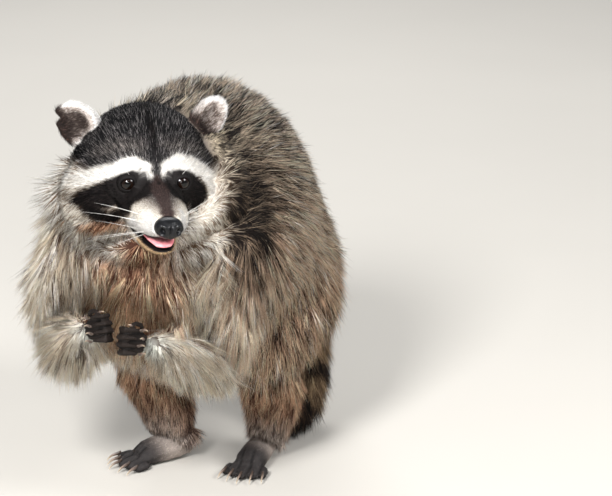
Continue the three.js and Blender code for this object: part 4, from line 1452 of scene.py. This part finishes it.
def makeNose():
    poles = np.stack([[1, 0, 0], [0, 0, 1], [0, -1, 0]], 1)
    points, faces = ball(np.zeros(3), np.ones(3), poles, sides=112, rings=80)
    d = unit(points)
    shape = np.sign(d) * np.abs(d) ** noseLook["square"]
    shape = shape * (noseHalf * noseLook["grow"])
    low = np.clip(-d[:, 2], 0, 1)
    shape[:, 0] *= 1 - noseLook["narrow"] * low ** noseLook["narrowing"]
    shape[:, 1] *= 1 - noseLook["thin"] * low
    push = np.zeros(len(d))
    mirrored = np.column_stack([np.abs(d[:, 0]), d[:, 1], d[:, 2]])
    for key in ("nostril", "slit"):
        gap = np.linalg.norm(mirrored - unit(np.array(noseLook[key])), axis=1)
        push -= noseLook[key + "Depth"] * np.exp(-(gap / noseLook[key + "Size"]) ** 4)
        if key == "nostril":
            wing = gap - noseLook["nostrilSize"] * noseLook["wingAt"]
            push += noseLook["wing"] * np.exp(-(wing / noseLook["wingSize"]) ** 2)
    front = rise(-d[:, 1], 0.2, 0.6)
    groove = noseLook["groove"] * np.exp(-(d[:, 0] / noseLook["grooveSize"]) ** 2)
    push -= groove * front * (1 - rise(d[:, 2], 0.1, 0.55))
    shape += d * push[:, None]
    world = onFace(*noseAt) + faceScale * (shape @ faceAxes.T)
    obj = newObject("nose_leather", world, faces)
    sphereUv(obj, onFace(*noseAt), faceAxes)
    material, tree, shader = newMaterial("nose_leather", noseLook["roughness"], noseLook["specular"])
    pores = addNoise(tree, noseLook["cells"], kind="ShaderNodeTexVoronoi")
    mottled(tree, shader, noseLook["mottle"], *map(ink, noseLook["tints"]))
    addBump(tree, shader, pores.outputs["Distance"], noseLook["bump"], noseLook["bump"])
    finished(obj, material, "nose_leather", "nose")


makeNose()


tongueLook = dict(
    voxel=0.6, rounds=14, halfWide=10, groove=0.9, grooveSize=1.7, edge=0.8, tip=1.2, tipAt=(-46, -30),
    roughness=0.38, specular=0.5, wet=0.2, wetRoughness=0.3, tints=("D9737C", "F0A3A6"), mottle=180,
    buds=1500, bump=(0.4, 0.3),
)


def makeTongue():
    points, faces = remeshed([trianglesOf(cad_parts["tongue"].data)], tongueLook["voxel"])
    points = eased(points, edgesOf(faces), tongueLook["rounds"])
    face = toFace(points)
    spread = np.abs(face[:, 0]) / tongueLook["halfWide"]
    groove = tongueLook["groove"] * np.exp(-(face[:, 0] / tongueLook["grooveSize"]) ** 2)
    groove -= tongueLook["edge"] * rise(spread, 0.35, 1.1)
    tipward = 1 - rise(face[:, 1], *tongueLook["tipAt"])
    up = (normalsOf(points, faces) @ faceZ) > 0.2
    face[:, 2] -= np.where(up, groove, 0)
    face[:, 2] -= tongueLook["tip"] * tipward
    points = onFaceAll(face)
    obj = newObject("tongue_soft", points, faces)
    sphereUv(obj, points.mean(0), faceAxes)
    material, tree, shader = newMaterial("tongue", tongueLook["roughness"], tongueLook["specular"],
                                         tongueLook["wet"])
    shader.inputs["Coat Roughness"].default_value = tongueLook["wetRoughness"]
    buds = addNoise(tree, tongueLook["buds"], kind="ShaderNodeTexVoronoi")
    mottled(tree, shader, tongueLook["mottle"], *map(ink, tongueLook["tints"]))
    addBump(tree, shader, buds.outputs["Distance"], *tongueLook["bump"])
    finished(obj, material, "tongue", "tongue")


makeTongue()

clawLook = dict(
    sides=14, rings=14, sunk=-0.3, curl=0.13, flat=0.7, reach=0.86, girth=0.92, thick=0.66, taper=0.72,
    roughness=0.38, specular=0.5, gloss=0.1, grain=900,
    horn=[(0.0, "40332B"), (0.35, "75645A"), (0.8, "AD9C84"), (1.0, "CDBFA8")],  # from the root to the tip
)


def clawMaterial():
    if "claw" in materials:
        return materials["claw"]
    material, tree, shader = newMaterial("claw_horn", clawLook["roughness"], clawLook["specular"],
                                         clawLook["gloss"])
    reach = addNode(tree, "ShaderNodeAttribute", attribute_name="reach")
    noise = addNoise(tree, clawLook["grain"], 4.0, stretch=(1, 1, 0.3))
    horn = addRamp(tree, reach.outputs["Fac"], [(at, ink(tint)) for at, tint in clawLook["horn"]])
    streaks = addRamp(tree, noise.outputs["Fac"], [(0.3, (0.75,) * 3), (0.7, (1.1,) * 3)])
    tree.links.new(multiplied(tree, horn, streaks), shader.inputs["Base Color"])
    addBump(tree, shader, noise.outputs["Fac"], 0.2, 0.2)
    materials["claw"] = material
    return material


def makeClaw(paw, side, k):
    node = f"{paw}_claw_{side}_{k}"
    points, _ = trianglesOf(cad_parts[node].data)
    tip = points[np.argmax(gapTo(points, spot(f"{paw}_{side}")))]
    # the root is the fifth of the points that lie farthest from the tip
    order = np.argsort(-np.linalg.norm(points - tip, axis=1))
    base = points[order[:max(len(points) // 5, 4)]].mean(0)
    along = tip - base
    length = np.linalg.norm(along)
    along = along / length
    girth = np.linalg.norm(np.cross(points - base, along), axis=1).max() * clawLook["girth"]
    lift = unit(np.array([0, 0, 1]) - along * along[2])
    length *= clawLook["reach"]
    steps = np.linspace(clawLook["sunk"], 1, clawLook["rings"])
    curl = [lift * length * clawLook["curl"] * math.sin(math.pi * max(t, 0)) for t in steps]
    path = [base + along * length * t + c for t, c in zip(steps, curl)]
    slim = [(1.02 - max(t, 0)) ** clawLook["taper"] * min(1, 0.6 + (t + 0.3) * 1.5) for t in steps]
    radii = girth * clawLook["thick"] * np.array(slim)
    across = unit(np.cross(along, lift))
    made, faces = tube(path, radii, clawLook["sides"], flat=(across, clawLook["flat"]))
    made[:, 2] = np.maximum(made[:, 2], points[:, 2].min())
    obj = newObject(node + "_horn", made, faces)
    sphereUv(obj, made.mean(0))
    addReach(obj, np.clip((made - base) @ along / length, 0, 1))
    finished(obj, clawMaterial(), "claw", node)


for paw in ("hand", "foot"):
    for side in ("left", "right"):
        for k in range(1, 6):
            makeClaw(paw, side, k)

whiskerLook = dict(
    rows=4, perRow=2, length=(38, 64), thick=0.15, droop=0.2, back=0.25, taper=0.82,
    first=(13, -40, -18), next=(3.0, 6.5, 0), below=(0, 2, -4.2),  # the first one's place, and the steps
    brows=3, browLength=24, browThick=0.7,
    tints=("DAD6D0", "FAF8F4"), mottle=300, roughness=0.4, specular=0.4,
)


def makeWhiskers():
    skinTree = BVHTree.FromPolygons(verts.tolist(), tris.tolist())

    def onSkin(place):
        return np.array(skinTree.find_nearest(Vector(place))[0])

    parts = []
    thick = whiskerLook["thick"] * mm
    first, across, below = (np.array(whiskerLook[k]) for k in ("first", "next", "below"))
    for side in (1, -1):
        for i in range(whiskerLook["rows"]):
            for j in range(whiskerLook["perRow"]):
                x, y, z = first + j * across + i * below
                root = onSkin(onFace(side * (x + rng.uniform(-1, 1)), y, z))
                length = rng.uniform(*whiskerLook["length"]) * (0.75 + 0.12 * j) * mm
                outward = side * (1.0 + 0.15 * rng.normal())
                backward = 0.62 + 0.12 * rng.normal()
                upward = 0.34 - 0.26 * i + 0.08 * rng.normal()
                aim = unit(faceAxes @ np.array([outward, backward, upward]))
                bend = -faceZ * whiskerLook["droop"] + faceY * whiskerLook["back"]
                steps = np.linspace(0, 1, 12)
                path = [root - aim * mm + aim * length * t + bend * length * t * t * 0.5 for t in steps]
                parts.append(tube(path, thick * (1 - whiskerLook["taper"] * steps), 5))
    for side in (1, -1):  # a few over the eyes
        for k in range(whiskerLook["brows"]):
            root = onSkin(onFace(side * (16 + 3 * k), -4, 12))
            aim = unit(faceAxes @ np.array([side * (0.35 + 0.2 * k), -0.35, 1.0]))
            steps = np.linspace(0, 1, 9)
            path = [root + aim * whiskerLook["browLength"] * mm * t + faceY * 9 * mm * t * t for t in steps]
            parts.append(tube(path, thick * whiskerLook["browThick"] * (1 - 0.8 * steps), 5))
    obj = newObject("whiskers", *joinedParts(parts))
    sphereUv(obj, onFace(0, -10, -20), faceAxes)
    material, tree, shader = newMaterial("whiskers", whiskerLook["roughness"], whiskerLook["specular"])
    mottled(tree, shader, whiskerLook["mottle"], *map(ink, whiskerLook["tints"]))
    finished(obj, material, "face_coat")


makeWhiskers()
print("raccoon: eyes, nose, tongue, claws and whiskers made")

studio = {
    "floor": dict(size=9.0, tint="BDB9B2"),
    "key": dict(azimuth=12, elevation=36, distance=2.0, size=0.5, power=66),
    "fill": dict(azimuth=92, elevation=36, distance=2.2, size=0.8, power=34),
    "front": dict(azimuth=33, elevation=21, distance=2.4, size=0.2, power=12),
    "back": dict(azimuth=215, elevation=42, distance=2.2, size=1.4, power=30),
    "air": dict(tint="DDE1E6", strength=0.42),
}
look = dict(azimuth=30, elevation=18, distance=2.65, aim=(0.0605, 0.0922, 0.0040), lens=179.4, sensor=36)


def toward(azimuth, elevation):
    a, e = math.radians(azimuth), math.radians(elevation)
    return Vector((math.sin(a) * math.cos(e), -math.cos(a) * math.cos(e), math.sin(e)))


middle = (cadBox[0] + cadBox[1]) / 2


def makeFloor():
    half = studio["floor"]["size"]
    corners = [(-half, -half, 0), (half, -half, 0), (half, half, 0), (-half, half, 0)]
    obj = newObject("studio_floor", corners, [(0, 1, 2, 3)], smooth=False)
    material, tree, shader = newMaterial("studio_floor", 0.85, 0.2)
    base = ink(studio["floor"]["tint"])
    mottled(tree, shader, 3.0, base * 0.98, base * 1.01)
    obj.data.materials.append(material)


def makeLight(name):
    plan = studio[name]
    light = bpy.data.lights.new("studio_" + name, "AREA")
    light.shape = "DISK"
    light.size = plan["size"]
    light.energy = plan["power"]
    obj = bpy.data.objects.new("studio_" + name, light)
    back = toward(plan["azimuth"], plan["elevation"])
    obj.location = middle + back * plan["distance"]
    obj.rotation_mode = "QUATERNION"
    obj.rotation_quaternion = (-back).to_track_quat("-Z", "Y")
    bpy.context.scene.collection.objects.link(obj)


def makeCamera():
    camera = bpy.data.cameras.new("studio_camera")
    camera.lens = look["lens"]
    camera.sensor_width = look["sensor"]
    camera.clip_end = 50
    obj = bpy.data.objects.new("studio_camera", camera)
    back = toward(look["azimuth"], look["elevation"])
    obj.location = middle + Vector(look["aim"]) + back * look["distance"]
    obj.rotation_mode = "QUATERNION"
    obj.rotation_quaternion = (-back).to_track_quat("-Z", "Y")
    bpy.context.scene.collection.objects.link(obj)
    bpy.context.scene.camera = obj


makeFloor()
for name in ("key", "fill", "front", "back"):
    makeLight(name)
makeCamera()
world = bpy.data.worlds.new("studio_air")
bpy.context.scene.world = world
world.use_nodes = True
world.node_tree.nodes["Background"].inputs["Color"].default_value = (*ink(studio["air"]["tint"]), 1)
world.node_tree.nodes["Background"].inputs["Strength"].default_value = studio["air"]["strength"]
bpy.context.scene.view_settings.view_transform = "Standard"

print("raccoon: done")
